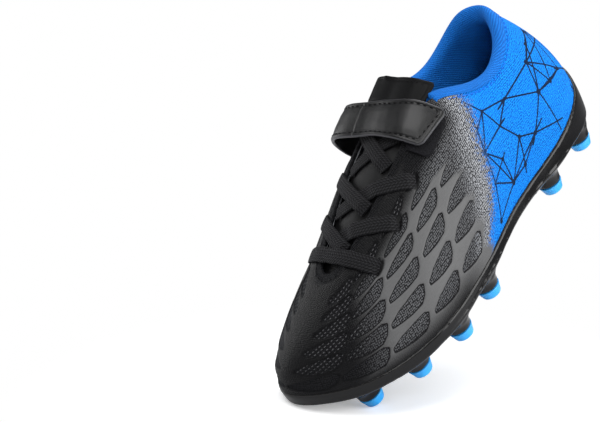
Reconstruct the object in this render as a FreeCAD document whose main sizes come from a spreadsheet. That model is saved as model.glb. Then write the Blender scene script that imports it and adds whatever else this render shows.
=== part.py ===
import FreeCAD, Part
import Sketcher
import math
import os

# Soccer cleat, left foot, child size: moulded plate with coloured stud tips,
# knitted upper with pressed film, padded collar and tongue, elastic laces and
# a hook-and-loop instep strap.  Toe towards +x, lateral side +y, z up.  Built
# with the back of the heel at x = 0, then moved so that the origin lies on the
# ground under the middle of the boot.

# ---------------------------------------------------------------- dimensions
# Every driving size of the boot, in millimetres.
DIMS = [
    ("shoe_length", 214.0, "feather line, back of heel to toe"),
    ("shoe_width", 74.3, "feather line, widest across the ball"),
    ("upper_height", 70.0, "footbed to the top of the instep"),
    ("upper_thick", 1.2, "knitted outer of the upper"),
    ("film_thick", 0.4, "pressed overlay film"),
    ("puff_thick", 0.7, "toe puff and eyestay reinforcement"),
    ("counter_thick", 1.2, "heel counter"),
    ("lining_thick", 0.6, "vamp, collar and tongue linings"),
    ("collar_foam_thick", 3.4, "collar padding"),
    ("layer_gap", 0.1, "air between cemented layers"),
    ("margin_width", 9.0, "lasting margin turned under the board"),
    ("board_thick", 1.5, "lasting board"),
    ("filler_thick", 1.0, "forepart filler"),
    ("sock_foam_thick", 3.4, "sockliner foam"),
    ("sock_cover_thick", 0.6, "sockliner cover"),
    ("plate_thick", 3.2, "moulded plate between the studs"),
    ("plate_overhang", 1.4, "plate beyond the feather line"),
    ("rim_thick", 1.45, "wall of the plate round the upper"),
    ("stud_root_radius", 7.8, "stud base where it meets the plate"),
    ("stud_neck_radius", 6.35, "stud base where it meets the tip"),
    ("stud_tip_height", 5.0, "coloured tip"),
    ("stud_tip_seam", 0.08, "gap between the tip and its base"),
    ("stud_tip_radius", 4.6, "walking end of the tip"),
    ("stud_tip_root_radius", 6.2, "tip where it meets the base"),
    ("stud_peg_radius", 2.4, "locking peg of the tip"),
    ("stud_peg_length", 3.0, "locking peg of the tip"),
    ("stud_peg_clearance", 0.08, "hole round the peg"),
    ("stud_dimple_radius", 1.6, "dimple in the walking end"),
    ("stud_dimple_depth", 0.5, "dimple in the walking end"),
    ("strap_width", 20.8, "instep strap"),
    ("strap_front", 66.8, "front edge of the strap up the throat"),
    ("strap_thick", 2.0, "instep strap"),
    ("strap_lift", 2.3, "strap above the upper"),
    ("pad_thick", 0.75, "hook and loop pads"),
    ("lace_width", 7.4, "flat elastic lace"),
    ("lace_thick", 1.05, "flat elastic lace"),
    ("tongue_face_thick", 0.8, "outer of the tongue"),
    ("tongue_foam_thick", 3.2, "tongue padding"),
    ("tongue_end", 103.0, "top of the tongue up the throat"),
    ("origin_x", 106.17, "middle of the boot along x"),
    ("origin_y", 1.76, "middle of the boot along y"),
    ("origin_z", 1.0, "ground under the studs"),
]

# ---------------------------------------------------------------- the last
# Columns run round the shoe from the back of the heel along the lateral side
# to the toe and back along the medial side.  Each row: outline point at the
# feather line (x, y), point on the top edge (x, y, z), outward lean of the
# wall at the bottom in degrees, handle lengths at the bottom and the top, and
# the direction (x, y, z) in which the wall arrives at the top edge.
COLUMNS = [
    (0.0, 0.0, 13.0, -3.0, 85.0, 16.0, 27.0, 22.0, 0.52, 0.02, 0.85),
    (4.5, 11.5, 17.5, 7.0, 83.6, 15.0, 26.0, 21.0, 0.44, -0.24, 0.86),
    (16.0, 21.2, 27.5, 14.6, 77.6, 13.0, 23.0, 20.0, 0.24, -0.4, 0.88),
    (38.0, 26.4, 43.0, 19.0, 73.0, 12.0, 21.0, 18.0, 0.06, -0.42, 0.9),
    (61.0, 27.0, 59.0, 20.0, 76.0, 12.0, 20.0, 18.0, 0.02, -0.42, 0.9),
    (83.0, 29.2, 73.0, 19.3, 84.6, 13.0, 20.0, 21.0, -0.04, -0.6, 0.8),
    (105.0, 34.2, 87.0, 16.0, 87.4, 13.0, 21.0, 23.0, -0.1, -0.8, 0.58),
    (127.5, 37.6, 110.0, 14.8, 80.2, 14.0, 21.0, 22.0, -0.16, -0.86, 0.46),
    (151.0, 38.9, 132.5, 13.3, 71.6, 15.0, 20.0, 22.0, -0.22, -0.87, 0.42),
    (175.5, 34.4, 152.5, 9.6, 63.6, 15.0, 18.5, 23.0, -0.45, -0.76, 0.4),
    (197.5, 21.8, 163.0, 5.6, 59.5, 14.0, 17.5, 28.0, -0.8, -0.42, 0.38),
    (214.0, -4.6, 166.5, -0.8, 58.3, 12.0, 17.0, 32.0, -0.93, 0.03, 0.37),
    (201.5, -26.2, 163.0, -7.2, 59.5, 13.0, 17.5, 28.0, -0.8, 0.44, 0.38),
    (177.0, -33.6, 152.5, -11.0, 63.6, 14.0, 18.5, 23.0, -0.45, 0.76, 0.4),
    (151.5, -35.4, 132.5, -14.8, 71.6, 13.0, 20.0, 22.0, -0.22, 0.87, 0.42),
    (127.0, -31.6, 110.0, -16.6, 80.2, 12.0, 21.0, 22.0, -0.16, 0.86, 0.46),
    (103.0, -26.8, 87.0, -18.2, 87.6, 11.0, 21.0, 23.0, -0.1, 0.8, 0.58),
    (81.0, -22.8, 73.0, -22.4, 86.4, 12.0, 20.0, 21.0, -0.04, 0.56, 0.83),
    (59.0, -22.4, 58.5, -26.2, 78.6, 12.0, 20.0, 18.0, 0.02, 0.34, 0.94),
    (36.0, -24.0, 43.0, -26.4, 76.0, 12.0, 21.0, 18.0, 0.08, 0.32, 0.94),
    (15.5, -20.6, 27.0, -22.3, 80.8, 13.0, 23.0, 20.0, 0.24, 0.28, 0.93),
    (4.5, -11.2, 17.5, -13.6, 85.2, 15.0, 26.0, 21.0, 0.44, 0.18, 0.88),
]
COLUMN_COUNT = len(COLUMNS)
TOE = COLUMN_COUNT / 2.0
# Height of the plate's wall above the floor, one value per column.
RIM_HEIGHTS = [20.0, 17.0, 12.0, 8.0, 5.5, 4.5, 4.0, 4.0, 4.0, 4.0, 4.5,
               5.5, 4.5, 4.0, 4.0, 4.0, 4.0, 4.5, 5.5, 8.0, 12.0, 17.0]
# Floor of the moulded plate under the board: x, height.
FLOOR = [(0, 17.6), (30, 17.2), (60, 17.6), (90, 18.0), (120, 16.4),
         (145, 15.5), (165, 16.0), (185, 18.2), (200, 20.8), (212, 23.6)]
# The tables above are drawn for this length, width and height.
TABLE_SIZE = (214.0, 74.3, 70.0)
SCALE_BASE = 17.6            # height about which the top edge is scaled
FEATHER_LIFT = 0.4           # feather line above the floor


# ---------------------------------------------------------------- numbers
def lerp(a, b, share):
    return a + (b - a) * share


def spread(start, end, count):
    return [start + (end - start) * i / (count - 1.0) for i in range(count)]


def clamp(value, low, high):
    return max(low, min(high, value))


def smooth(start, end, value):
    """Soft step from 0 at start to 1 at end."""
    k = clamp((value - start) / (end - start), 0.0, 1.0)
    return k * k * (3 - 2 * k)


def value_at(size, *place):
    """A size is either a number or a function of the place."""
    return size(*place) if callable(size) else size


def solve_tri(below, diag, above, right):
    """Solve a tridiagonal system."""
    n = len(right)
    ratio, rest = [0.0] * n, [0.0] * n
    ratio[0], rest[0] = above[0] / diag[0], right[0] / diag[0]
    for i in range(1, n):
        pivot = diag[i] - below[i] * ratio[i - 1]
        ratio[i] = above[i] / pivot
        rest[i] = (right[i] - below[i] * rest[i - 1]) / pivot
    out = [0.0] * n
    out[-1] = rest[-1]
    for i in range(n - 2, -1, -1):
        out[i] = rest[i] - ratio[i] * out[i + 1]
    return out


class Spline:
    """Cubic spline through (x, y) pairs, natural ends, straight beyond them."""

    def __init__(self, points):
        self.x = x = [float(p[0]) for p in points]
        self.y = y = [float(p[1]) for p in points]
        n = len(points)
        step = [x[i + 1] - x[i] for i in range(n - 1)]
        below, diag = [0.0] * n, [1.0] * n
        above, right = [0.0] * n, [0.0] * n
        for i in range(1, n - 1):
            below[i], above[i] = step[i - 1], step[i]
            diag[i] = 2 * (step[i - 1] + step[i])
            right[i] = 6 * ((y[i + 1] - y[i]) / step[i]
                            - (y[i] - y[i - 1]) / step[i - 1])
        self.bend = solve_tri(below, diag, above, right)

    def __call__(self, at):
        x, y, bend = self.x, self.y, self.bend
        if at <= x[0]:
            step = x[1] - x[0]
            slope = (y[1] - y[0]) / step - step * (2 * bend[0] + bend[1]) / 6
            return y[0] + slope * (at - x[0])
        if at >= x[-1]:
            step = x[-1] - x[-2]
            slope = (y[-1] - y[-2]) / step + step * (bend[-2] + 2 * bend[-1]) / 6
            return y[-1] + slope * (at - x[-1])
        k = 0
        while x[k + 1] < at:
            k += 1
        step = x[k + 1] - x[k]
        after, before = x[k + 1] - at, at - x[k]
        return (bend[k] * after ** 3 / (6 * step)
                + bend[k + 1] * before ** 3 / (6 * step)
                + (y[k] / step - bend[k] * step / 6) * after
                + (y[k + 1] / step - bend[k + 1] * step / 6) * before)


class Ring:
    """Closed cubic spline through values at 0, 1, 2 ... n-1."""

    def __init__(self, values):
        self.n = n = len(values)
        turns = [(i + turn * n, v) for turn in (-1, 0, 1)
                 for i, v in enumerate(values)]
        self.values = values
        self.bend = Spline(turns).bend[n:2 * n]

    def __call__(self, at):
        k = int(at // 1)
        w = at - k
        u = 1.0 - w
        i, j = k % self.n, (k + 1) % self.n
        return (self.bend[i] * (u ** 3 - u) / 6 + self.bend[j] * (w ** 3 - w) / 6
                + self.values[i] * u + self.values[j] * w)


# ---------------------------------------------------------------- vectors
def along(point, direction, distance):
    return (point[0] + distance * direction[0],
            point[1] + distance * direction[1],
            point[2] + distance * direction[2])


def minus(a, b):
    return (a[0] - b[0], a[1] - b[1], a[2] - b[2])


def dot(a, b):
    return a[0] * b[0] + a[1] * b[1] + a[2] * b[2]


def cross(a, b):
    return (a[1] * b[2] - a[2] * b[1], a[2] * b[0] - a[0] * b[2],
            a[0] * b[1] - a[1] * b[0])


def length(a):
    return math.sqrt(dot(a, a))


def unit(a):
    size = length(a) or 1.0
    return (a[0] / size, a[1] / size, a[2] / size)


def bezier(share, a, b, c, d):
    """Point on the cubic with control points a, b, c, d."""
    u, w = 1 - share, share
    c0, c1, c2, c3 = u * u * u, 3 * u * u * w, 3 * u * w * w, w * w * w
    return tuple(c0 * a[i] + c1 * b[i] + c2 * c[i] + c3 * d[i]
                 for i in range(3))


# ---------------------------------------------------------------- foot form
class Shoe:
    """The outer face of the upper, and everything measured from it.

    col runs 0..COLUMN_COUNT round the shoe, rise from 0 at the feather line
    to 1 at the top edge.
    """

    def __init__(self, *size):
        self.scale_x, self.scale_y, self.scale_z = [
            a / b for a, b in zip(size, TABLE_SIZE)]
        (self.foot_x, self.foot_y, self.top_x, self.top_y, self.top_z,
         self.lean, self.low_handle, self.top_handle,
         self.dir_x, self.dir_y, self.dir_z) = [
            Ring(list(column)) for column in zip(*COLUMNS)]
        self.floor_line = Spline(FLOOR)

    def floor(self, x):
        """Height of the floor of the moulded plate under the board."""
        return self.floor_line(x / self.scale_x)

    def outline(self, col):
        return self.foot_x(col) * self.scale_x, self.foot_y(col) * self.scale_y

    def outward(self, col):
        step = 1e-3
        x0, y0 = self.outline(col - step)
        x1, y1 = self.outline(col + step)
        dx, dy = x1 - x0, y1 - y0
        size = math.hypot(dx, dy)
        return (-dy / size, dx / size)

    def arrival(self, col):
        """Direction in which the wall arrives at the top edge."""
        return unit((self.dir_x(col), self.dir_y(col), self.dir_z(col)))

    def point(self, col, rise):
        x, y = self.outline(col)
        z = self.floor(x) + FEATHER_LIFT
        lean = math.radians(self.lean(col))
        out_x, out_y = self.outward(col)
        low = self.low_handle(col) * self.scale_z
        high = self.top_handle(col) * self.scale_z
        top = (self.top_x(col) * self.scale_x, self.top_y(col) * self.scale_y,
               SCALE_BASE + (self.top_z(col) - SCALE_BASE) * self.scale_z)
        above_foot = (x + out_x * math.sin(lean) * low,
                      y + out_y * math.sin(lean) * low,
                      z + math.cos(lean) * low)
        below_top = along(top, self.arrival(col), -high)
        return bezier(rise, (x, y, z), above_foot, below_top, top)

    def normal(self, col, rise):
        step = 0.02
        round_ = minus(self.point(col + step, rise), self.point(col - step, rise))
        low, high = max(0.0, rise - 0.01), min(1.0, rise + 0.01)
        up = minus(self.point(col, high), self.point(col, low))
        return unit(cross(up, round_))

    def off(self, col, rise, distance):
        """Point at a distance outside (+) or inside (-) the outer face."""
        return along(self.point(col, rise), self.normal(col, rise), distance)

    def rise_at(self, col, height):
        """Rise where the wall stands this high above the floor at its foot."""
        z = self.floor(self.outline(col)[0]) + height
        low, high = 0.0, 1.0
        for _ in range(24):
            middle = (low + high) / 2
            if self.point(col, middle)[2] < z:
                low = middle
            else:
                high = middle
        return (low + high) / 2


class Instep:
    """The closed instep: walls of the upper with a dome bridging the throat.

    Points are found by the distance run up the throat line from its bottom and
    an angle (degrees, lateral positive) about a line buried in the foot.
    """

    THROAT = (-0.94, 0.0, 0.341)     # up and back along the throat
    UP = (0.341, 0.0, 0.94)          # out of the foot, square to the throat
    DEPTH = 26.0                     # buried line below the throat line
    RUNS = (-30.0, 4.0, 33)          # first run, step and count of the table
    ANGLES = (-105.0, 7.5, 29)       # first angle, step and count
    LAST_RUN = 86.0                  # beyond it the section stays the same
    FULLNESS = 0.38                  # dome handles, share of the span

    def __init__(self, shoe):
        self.shoe = shoe
        bottom = shoe.point(TOE, 1.0)
        self.origin = (bottom[0], -0.5, bottom[2])
        # Starting points for the search: (polar, on the dome, col, rise).
        cloud = []
        for k in range(-40, 41):
            col = TOE + k * 0.175
            for j in range(31):
                rise = j / 30.0
                cloud.append((self.polar(shoe.point(col, rise)), 0, col, rise))
        for k in range(40):
            col = TOE - k * 0.17
            for j in range(21):
                share = j / 20.0
                cloud.append((self.polar(self.dome(col, share)), 1, col, share))
        run0, run_step, runs = self.RUNS
        angle0, angle_step, angles = self.ANGLES
        self.rows = [[self.find(run0 + i * run_step, angle0 + j * angle_step, cloud)
                      for j in range(angles)] for i in range(runs)]

    def dome(self, col, share):
        """Bridge from the lateral top edge to the medial one."""
        other = COLUMN_COUNT - col
        a, e = self.shoe.point(col, 1.0), self.shoe.point(other, 1.0)
        handle = self.FULLNESS * length(minus(a, e))
        return bezier(share, a, along(a, self.shoe.arrival(col), handle),
                      along(e, self.shoe.arrival(other), handle), e)

    def polar(self, point):
        """Run, angle and radius of a point."""
        v = minus(point, self.origin)
        height, y = dot(v, self.UP) + self.DEPTH, v[1]
        return (dot(v, self.THROAT), math.degrees(math.atan2(y, height)),
                math.hypot(y, height))

    def find(self, run, angle, cloud):
        """Radius at (run, angle), by Newton steps from the nearest points."""
        nearest = sorted(cloud, key=lambda c: (c[0][0] - run) ** 2
                         + ((c[0][1] - angle) * 0.5) ** 2)[:3]
        step = 0.01
        found = []
        for _, on_dome, col, rise in nearest:
            face = self.dome if on_dome else self.shoe.point
            for _ in range(8):
                here = self.polar(face(col, rise))
                by_col = self.polar(face(col + step, rise))
                by_rise = self.polar(face(col, rise + step))
                run_col = (by_col[0] - here[0]) / step
                run_rise = (by_rise[0] - here[0]) / step
                angle_col = (by_col[1] - here[1]) / step
                angle_rise = (by_rise[1] - here[1]) / step
                det = run_col * angle_rise - run_rise * angle_col
                if abs(det) < 1e-6:
                    break
                need_run, need_angle = run - here[0], angle - here[1]
                d_col = (need_run * angle_rise - need_angle * run_rise) / det
                d_rise = (run_col * need_angle - angle_col * need_run) / det
                col += clamp(d_col, -0.5, 0.5)
                rise = clamp(rise + clamp(d_rise, -0.15, 0.15), -0.05, 1.05)
                if on_dome:
                    col = min(TOE, col)
            here = self.polar(face(col, rise))
            miss = abs(here[0] - run) + abs(here[1] - angle) * 0.5
            found.append((miss, here[2]))
        good = [radius for miss, radius in found if miss < 0.3]
        if good:
            return max(good)
        return min(found)[1]

    @staticmethod
    def locate(value, axis):
        """Table row before the value, and the weights of four rows round it."""
        first, step, count = axis
        share = (value - first) / step
        i = clamp(int(math.floor(share)), 1, count - 3)
        f = share - i
        return i, (((-f + 2) * f - 1) * f / 2, ((3 * f - 5) * f * f + 2) / 2,
                   ((-3 * f + 4) * f + 1) * f / 2, (f - 1) * f * f / 2)

    def radius(self, run, angle):
        i, run_weights = self.locate(run, self.RUNS)
        j, weights = self.locate(angle, self.ANGLES)
        total = 0.0
        for a in range(4):
            row = self.rows[i - 1 + a]
            total += run_weights[a] * sum(
                weights[b] * row[j - 1 + b] for b in range(4))
        return total

    def base(self, run, angle):
        radius = self.radius(min(run, self.LAST_RUN), angle)
        turn = math.radians(angle)
        p = along(self.origin, self.THROAT, run)
        p = along(p, self.UP, radius * math.cos(turn) - self.DEPTH)
        return along(p, (0.0, 1.0, 0.0), radius * math.sin(turn))

    def at(self, run, angle, lift):
        """Point at a height above the closed instep."""
        up = minus(self.base(run + 0.5, angle), self.base(run - 0.5, angle))
        side = minus(self.base(run, angle + 1.0), self.base(run, angle - 1.0))
        return along(self.base(run, angle), unit(cross(side, up)), lift)


# ---------------------------------------------------------------- surfaces
def open_poles(data):
    """Poles of the cubic through data at 0, 1, 2 ...; the bend at each end is
    taken from the nearest points."""
    count, width = len(data), len(data[0])
    axes = range(width)

    def end_bend(points):
        if count > 4:
            a, b, c, d = points
            return tuple(2 * a[i] - 5 * b[i] + 4 * c[i] - d[i] for i in axes)
        a, b, c = points[:3]
        return tuple(a[i] - 2 * b[i] + c[i] for i in axes)
    bend0 = end_bend(data[:4])
    bend1 = end_bend(data[::-1][:4])
    head = tuple(data[0][i] - bend0[i] / 6 for i in axes)
    tail = tuple(data[-1][i] - bend1[i] / 6 for i in axes)
    inner = count - 2
    if inner == 1:
        middle = [tuple((6 * data[1][i] - head[i] - tail[i]) / 4 for i in axes)]
    else:
        solved = []
        for i in axes:
            right = [6 * data[r + 1][i] for r in range(inner)]
            right[0] -= head[i]
            right[-1] -= tail[i]
            solved.append(solve_tri([1.0] * inner, [4.0] * inner,
                                    [1.0] * inner, right))
        middle = list(zip(*solved))
    poles = [head] + middle + [tail]
    first = tuple(2 * poles[0][i] - poles[1][i] + bend0[i] for i in axes)
    last = tuple(2 * poles[-1][i] - poles[-2][i] + bend1[i] for i in axes)
    return [first] + poles + [last]


def ring_poles(data):
    """Poles of the closed cubic through data, one pole per point."""
    n, width = len(data), len(data[0])
    poles = list(data)
    for _ in range(40):
        poles = [tuple((6 * data[i][j] - poles[i - 1][j]
                        - poles[(i + 1) % n][j]) / 4
                       for j in range(width)) for i in range(n)]
    return poles


def flat(row):
    return tuple(c for point in row for c in point)


def surface_face(u_rows, v_cubic):
    """Face from u-pole rows; each row holds the data points along v."""
    poles = []
    for row in u_rows:
        points = [row[i:i + 3] for i in range(0, len(row), 3)]
        if v_cubic:
            points = open_poles(points)
        poles.append([FreeCAD.Vector(*p) for p in points])
    u_count, v_count = len(poles), len(poles[0])
    u_knots = [float(k) for k in range(-3, u_count + 1)]
    if v_cubic:
        v_knots = [float(k) for k in range(-3, v_count + 1)]
        v_mults, v_degree, v_end = [1] * len(v_knots), 3, float(v_count - 3)
    else:
        v_knots, v_mults, v_degree, v_end = [0.0, 1.0], [2, 2], 1, 1.0
    surface = Part.BSplineSurface()
    surface.buildFromPolesMultsKnots(poles, [1] * len(u_knots), v_mults,
                                     u_knots, v_knots, False, False, 3, v_degree)
    surface.segment(0.0, float(u_count - 3), 0.0, v_end)
    return surface.toShape()


def solid_of(faces):
    shell = Part.makeShell(faces)
    shell.sewShape(0.002)
    # Sewing can wrap the shell in a compound.
    if shell.ShapeType != "Shell":
        shell = shell.Shells[0]
    solid = Part.makeSolid(shell)
    if solid.Volume < 0:
        solid.reverse()
    return solid


def slab(grid_a, grid_b):
    """Closed solid between two matching grids [u][v] of points."""
    faces = [surface_face(open_poles([flat(row) for row in grid]), True)
             for grid in (grid_a, grid_b)]
    for k in (0, -1):
        side = [flat((a[k], b[k])) for a, b in zip(grid_a, grid_b)]
        end = [flat(pair) for pair in zip(grid_a[k], grid_b[k])]
        for edge in (side, end):
            faces.append(surface_face(open_poles(edge), False))
    return solid_of(faces)


def closed_ring(segments):
    """Closed ring solid: each segment is a list of closed curves of points;
    a segment starts on the curve where the one before it ends."""
    faces = []
    for curves in segments:
        n = len(curves[0])
        poles = ring_poles([flat([curve[i] for curve in curves])
                            for i in range(n)])
        for start, end in ((0, n // 2), (n // 2, n)):
            part = [poles[(k - 1) % n] for k in range(start, end + 3)]
            faces.append(surface_face(part, len(curves) > 2))
    return solid_of(faces)


# ---------------------------------------------------------------- document
doc = FreeCAD.newDocument("cleat")
sheet = doc.addObject("Spreadsheet::Sheet", "Dims")
for row_no, (name, value, note) in enumerate(DIMS, 1):
    sheet.set("A%d" % row_no, name)
    sheet.set("B%d" % row_no, repr(value))
    sheet.setAlias("B%d" % row_no, name)
    sheet.set("C%d" % row_no, note)
doc.recompute()


def dim(name):
    return float(sheet.get(name))


SHIFT = FreeCAD.Vector(-dim("origin_x"), -dim("origin_y"), -dim("origin_z"))
HOME = FreeCAD.Placement(SHIFT, FreeCAD.Rotation())
pieces = []


def feature(label, shape):
    obj = doc.addObject("Part::Feature", label)
    obj.Label = label
    obj.Shape = shape
    return obj


def finish(obj):
    """Move an object home and count it as a piece of the boot."""
    obj.Placement = HOME
    pieces.append(obj)


def piece(label, shape):
    finish(feature(label, shape))


shoe = Shoe(dim("shoe_length"), dim("shoe_width"), dim("upper_height"))
instep = Instep(shoe)
rim_height = Ring(RIM_HEIGHTS)
RING_POINTS = 44             # points round the boot in a closed ring
RING_COLS = [i * COLUMN_COUNT / float(RING_POINTS) for i in range(RING_POINTS)]
GAP = dim("layer_gap")


def around(place):
    return [place(col) for col in RING_COLS]


def under(col, inset, lift):
    """Point under the foot: inset from the feather line, lift above the floor."""
    x, y = shoe.outline(col)
    out_x, out_y = shoe.outward(col)
    x, y = x - out_x * inset, y - out_y * inset
    return (x, y, shoe.floor(x) + lift)


def patch(start, end, cols, low, high, rises, near, far):
    """Curved plate on the upper, from col start to end and rise low to high,
    between two distances; low, near and far may be functions."""
    return slab(*[
        [[shoe.off(col, rise, value_at(distance, col, rise))
          for rise in spread(value_at(low, col), high, rises)]
         for col in spread(start, end, cols)]
        for distance in (near, far)])


def both_sides(label, back, front, *plate):
    """The same patch on the lateral and the medial side."""
    piece(label + "_lateral", patch(back, front, *plate))
    piece(label + "_medial", patch(
        COLUMN_COUNT - front, COLUMN_COUNT - back, *plate))


# ---------------------------------------------------------------- upper
UPPER = dim("upper_thick")
FILM = dim("film_thick")
PUFF = dim("puff_thick")
COUNTER = dim("counter_thick")
LINING = dim("lining_thick")
MARGIN = dim("margin_width")
MARGIN_LIFT = 0.3                        # lasting margin above the floor
INNER_FOOT = 1.2                         # foot of the shell's inner face
FILM_LIFT = 1.2                          # film above the plate's wall
BOARD_CLEAR = 3.9                        # linings start this far above the floor
STIFFENER_FACE = -UPPER - GAP            # outer face of the stiffeners
VAMP_FACE = STIFFENER_FACE - PUFF - GAP - 0.02
COLLAR_FACE = STIFFENER_FACE - COUNTER - GAP


def upper_shell():
    """Knitted outer with its margin turned in under the foot."""
    inner_low = around(lambda col: shoe.rise_at(col, INNER_FOOT))
    outside = [around(lambda col: shoe.off(col, rise, 0.0))
               for rise in spread(0, 1, 12)]
    inside = [[shoe.off(col, lerp(1.0, low, share), -UPPER)
               for col, low in zip(RING_COLS, inner_low)]
              for share in spread(0, 1, 12)]
    margin_top = around(lambda col: under(col, MARGIN, MARGIN_LIFT + UPPER))
    margin_low = around(lambda col: under(col, MARGIN, MARGIN_LIFT))
    return closed_ring([
        outside, [outside[-1], inside[0]], inside, [inside[-1], margin_top],
        [margin_top, margin_low], [margin_low, outside[0]]])


def above_rim(col):
    return shoe.rise_at(col, rim_height(col) + FILM_LIFT)


def above_board(col):
    return shoe.rise_at(col, BOARD_CLEAR)


piece("upper_shell", upper_shell())
both_sides("overlay_film", 5.4, 10.6, 20, above_rim, 0.94, 10, GAP, GAP + FILM)
piece("toe_puff", patch(8.9, 13.1, 16, above_board, 0.60, 6,
                        STIFFENER_FACE, STIFFENER_FACE - PUFF))
both_sides("eyestay", 5.75, 10.6, 18, 0.80, 0.985, 5,
           STIFFENER_FACE, STIFFENER_FACE - PUFF)
piece("heel_counter", patch(-3.6, 3.6, 20, above_board, 0.60, 6,
                            STIFFENER_FACE, STIFFENER_FACE - COUNTER))
piece("vamp_lining", patch(5.5, 16.5, 34, above_board, 0.97, 8,
                           VAMP_FACE, VAMP_FACE + 0.02 - LINING))

# ---------------------------------------------------------------- collar
# Columns are counted from the back of the heel, negative on the medial side.
COLLAR_FOAM = dim("collar_foam_thick")
FOAM_EDGE, FOAM_LOSS = 0.15, 0.4         # least foam; full foam falls short by
LINING_EDGE, LINING_LOSS = 0.2, 0.12     # the same for the lining behind it
COLLAR_COLS = spread(-5.3, 5.3, 34)


def padding(col, rise):
    """How far the collar padding stands in, 0 to 1."""
    side = 1.0 - 0.8 * smooth(3.9, 5.2, abs(col))
    return side * smooth(0.36, 0.68, rise) * (1 - 0.22 * smooth(0.86, 1.0, rise))


def foam_inner(col, rise):
    return COLLAR_FACE - FOAM_EDGE - (COLLAR_FOAM - FOAM_LOSS) * padding(col, rise)


def lining_depth(col, rise):
    """Distance inside the upper of the middle of the collar lining."""
    return (LINING_EDGE + (COLLAR_FOAM - LINING_LOSS) * padding(col, rise)
            - COLLAR_FACE + GAP + LINING / 2)


def collar_path(col, shift):
    """Lining up the inside, over the top and a little way down outside."""
    path = [shoe.off(col, rise, -lining_depth(col, rise) - shift)
            for rise in spread(above_board(col), 1.0, 14)]
    normal = shoe.normal(col, 1.0)
    up = unit(cross(normal, cross(shoe.arrival(col), normal)))
    top = shoe.point(col, 1.0)
    inside = lining_depth(col, 1.0)
    outside = GAP * 2 + LINING / 2
    middle = (outside - inside) / 2
    radius = (outside + inside) / 2 + shift
    arc_points = 5
    for k in range(1, arc_points + 1):
        turn = math.pi * k / (arc_points + 1.0)
        p = along(top, normal, middle - math.cos(turn) * radius)
        path.append(along(p, up, 0.3 + math.sin(turn) * (radius * 0.75 + 0.4)))
    for k in range(3):
        path.append(shoe.off(col, 1.0 - 0.035 * k, outside + shift))
    return path


piece("collar_foam", patch(-4.8, 4.8, 30, 0.42, 0.975, 12,
                           COLLAR_FACE, foam_inner))
piece("collar_lining", slab(*[[collar_path(col, shift) for col in COLLAR_COLS]
                              for shift in (-LINING / 2, LINING / 2)]))

# ---------------------------------------------------------------- tongue
STRAP_FRONT, STRAP_WIDTH = dim("strap_front"), dim("strap_width")
TONGUE_FACE, TONGUE_FOAM = dim("tongue_face_thick"), dim("tongue_foam_thick")
TONGUE_END = dim("tongue_end")
TONGUE_START = -8.0
TONGUE_SPLIT = STRAP_FRONT + STRAP_WIDTH + 0.9   # lower and top parts meet here
SPLIT_GAP = 0.4                                  # each part stops this short
FOAM_TOP = TONGUE_FACE + GAP                     # depths under the tongue's face
LINING_TOP = TONGUE_FACE + TONGUE_FOAM + 2 * GAP
TOP_PATCH, TOP_PAD_LOW = 0.8, 4.4


def throat_half(run):
    """Half angle of the throat opening."""
    return 9.0 + 19.0 * smooth(-4, 55, run)


def tongue_half(run):
    return lerp(lerp(24.0, 42.0, smooth(-10, 30, run)), 27.0, smooth(60, 92, run))


def tongue_top_half(run):
    return lerp(27.0, 23.5, smooth(88, 103, run))


def tongue_lift(run, angle):
    """The tongue's face lies under the upper and swells up in the throat."""
    half = throat_half(run)
    return -2.85 + 1.15 * (1 - smooth(0.45 * half, 1.05 * half, abs(angle))) \
        * smooth(0, 12, run)


def tongue_layer(label, start, end, steps, half, outer, inner):
    """Layer of the tongue between two depths under its face."""
    grids = []
    for depth in (outer, inner):
        grid = []
        for run in spread(start, end, steps):
            angles = [share * half(run) for share in spread(-1.0, 1.0, 11)]
            grid.append([instep.at(run, angle, tongue_lift(run, angle) - depth)
                         for angle in angles])
        grids.append(grid)
    piece(label, slab(*grids))


for label, outer, inner in (
        ("tongue_face", 0.0, TONGUE_FACE),
        ("tongue_foam", FOAM_TOP, FOAM_TOP + TONGUE_FOAM),
        ("tongue_lining", LINING_TOP, LINING_TOP + LINING)):
    tongue_layer(label, TONGUE_START, TONGUE_SPLIT - SPLIT_GAP, 16,
                 tongue_half, outer, inner)
for label, end, outer, inner in (
        ("tongue_top_patch", TONGUE_END, 0.0, TOP_PATCH),
        ("tongue_top_pad", TONGUE_END - 0.6, TOP_PATCH + GAP, TOP_PAD_LOW)):
    tongue_layer(label, TONGUE_SPLIT + SPLIT_GAP, end, 7,
                 tongue_top_half, outer, inner)

# ---------------------------------------------------------------- laces
LACE_WIDTH, LACE_THICK = dim("lace_width"), dim("lace_thick")
LACE_CROWN = 0.1             # extra thickness along the middle of a lace
# label, start and end (run, angle), then levels: (share of the length,
# height of the strand's middle above the instep).
LACES = [
    ("lace_bar", (7.4, -48.0), (10.4, 53.0),
     ((0, 1.2), (.3, 2.1), (.7, 2.1), (1, 1.2))),
    ("lace_cross_1_under", (14.0, -14.0), (32.0, 53.0),
     ((0, -.9), (.15, -.8), (.33, -.55), (.46, 1.1), (.6, 1.2), (1, 1.2))),
    ("lace_cross_1_over", (12.5, 15.0), (26.0, -45.0),
     ((0, -.4), (.1, .75), (.25, .9), (.5, 1.2), (1, 1.2))),
    ("lace_cross_2_under", (29.0, -21.0), (52.5, 52.0),
     ((0, -.95), (.2, -.85), (.47, -.65), (.62, 1.15), (1, 1.2))),
    ("lace_cross_2_over", (33.0, 21.0), (47.5, -44.0),
     ((0, -.55), (.11, 1.07), (.35, 1.13), (.6, 1.22), (1, 1.2))),
    ("lace_cross_3_under", (50.0, -24.0), (71.5, 24.0),
     ((0, -1.0), (.2, -.9), (.8, -.9), (1, -.7))),
    ("lace_cross_3_over", (54.0, 24.0), (71.0, -26.0),
     ((0, -.9), (.22, .6), (.6, .65), (1, .75))),
]


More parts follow.
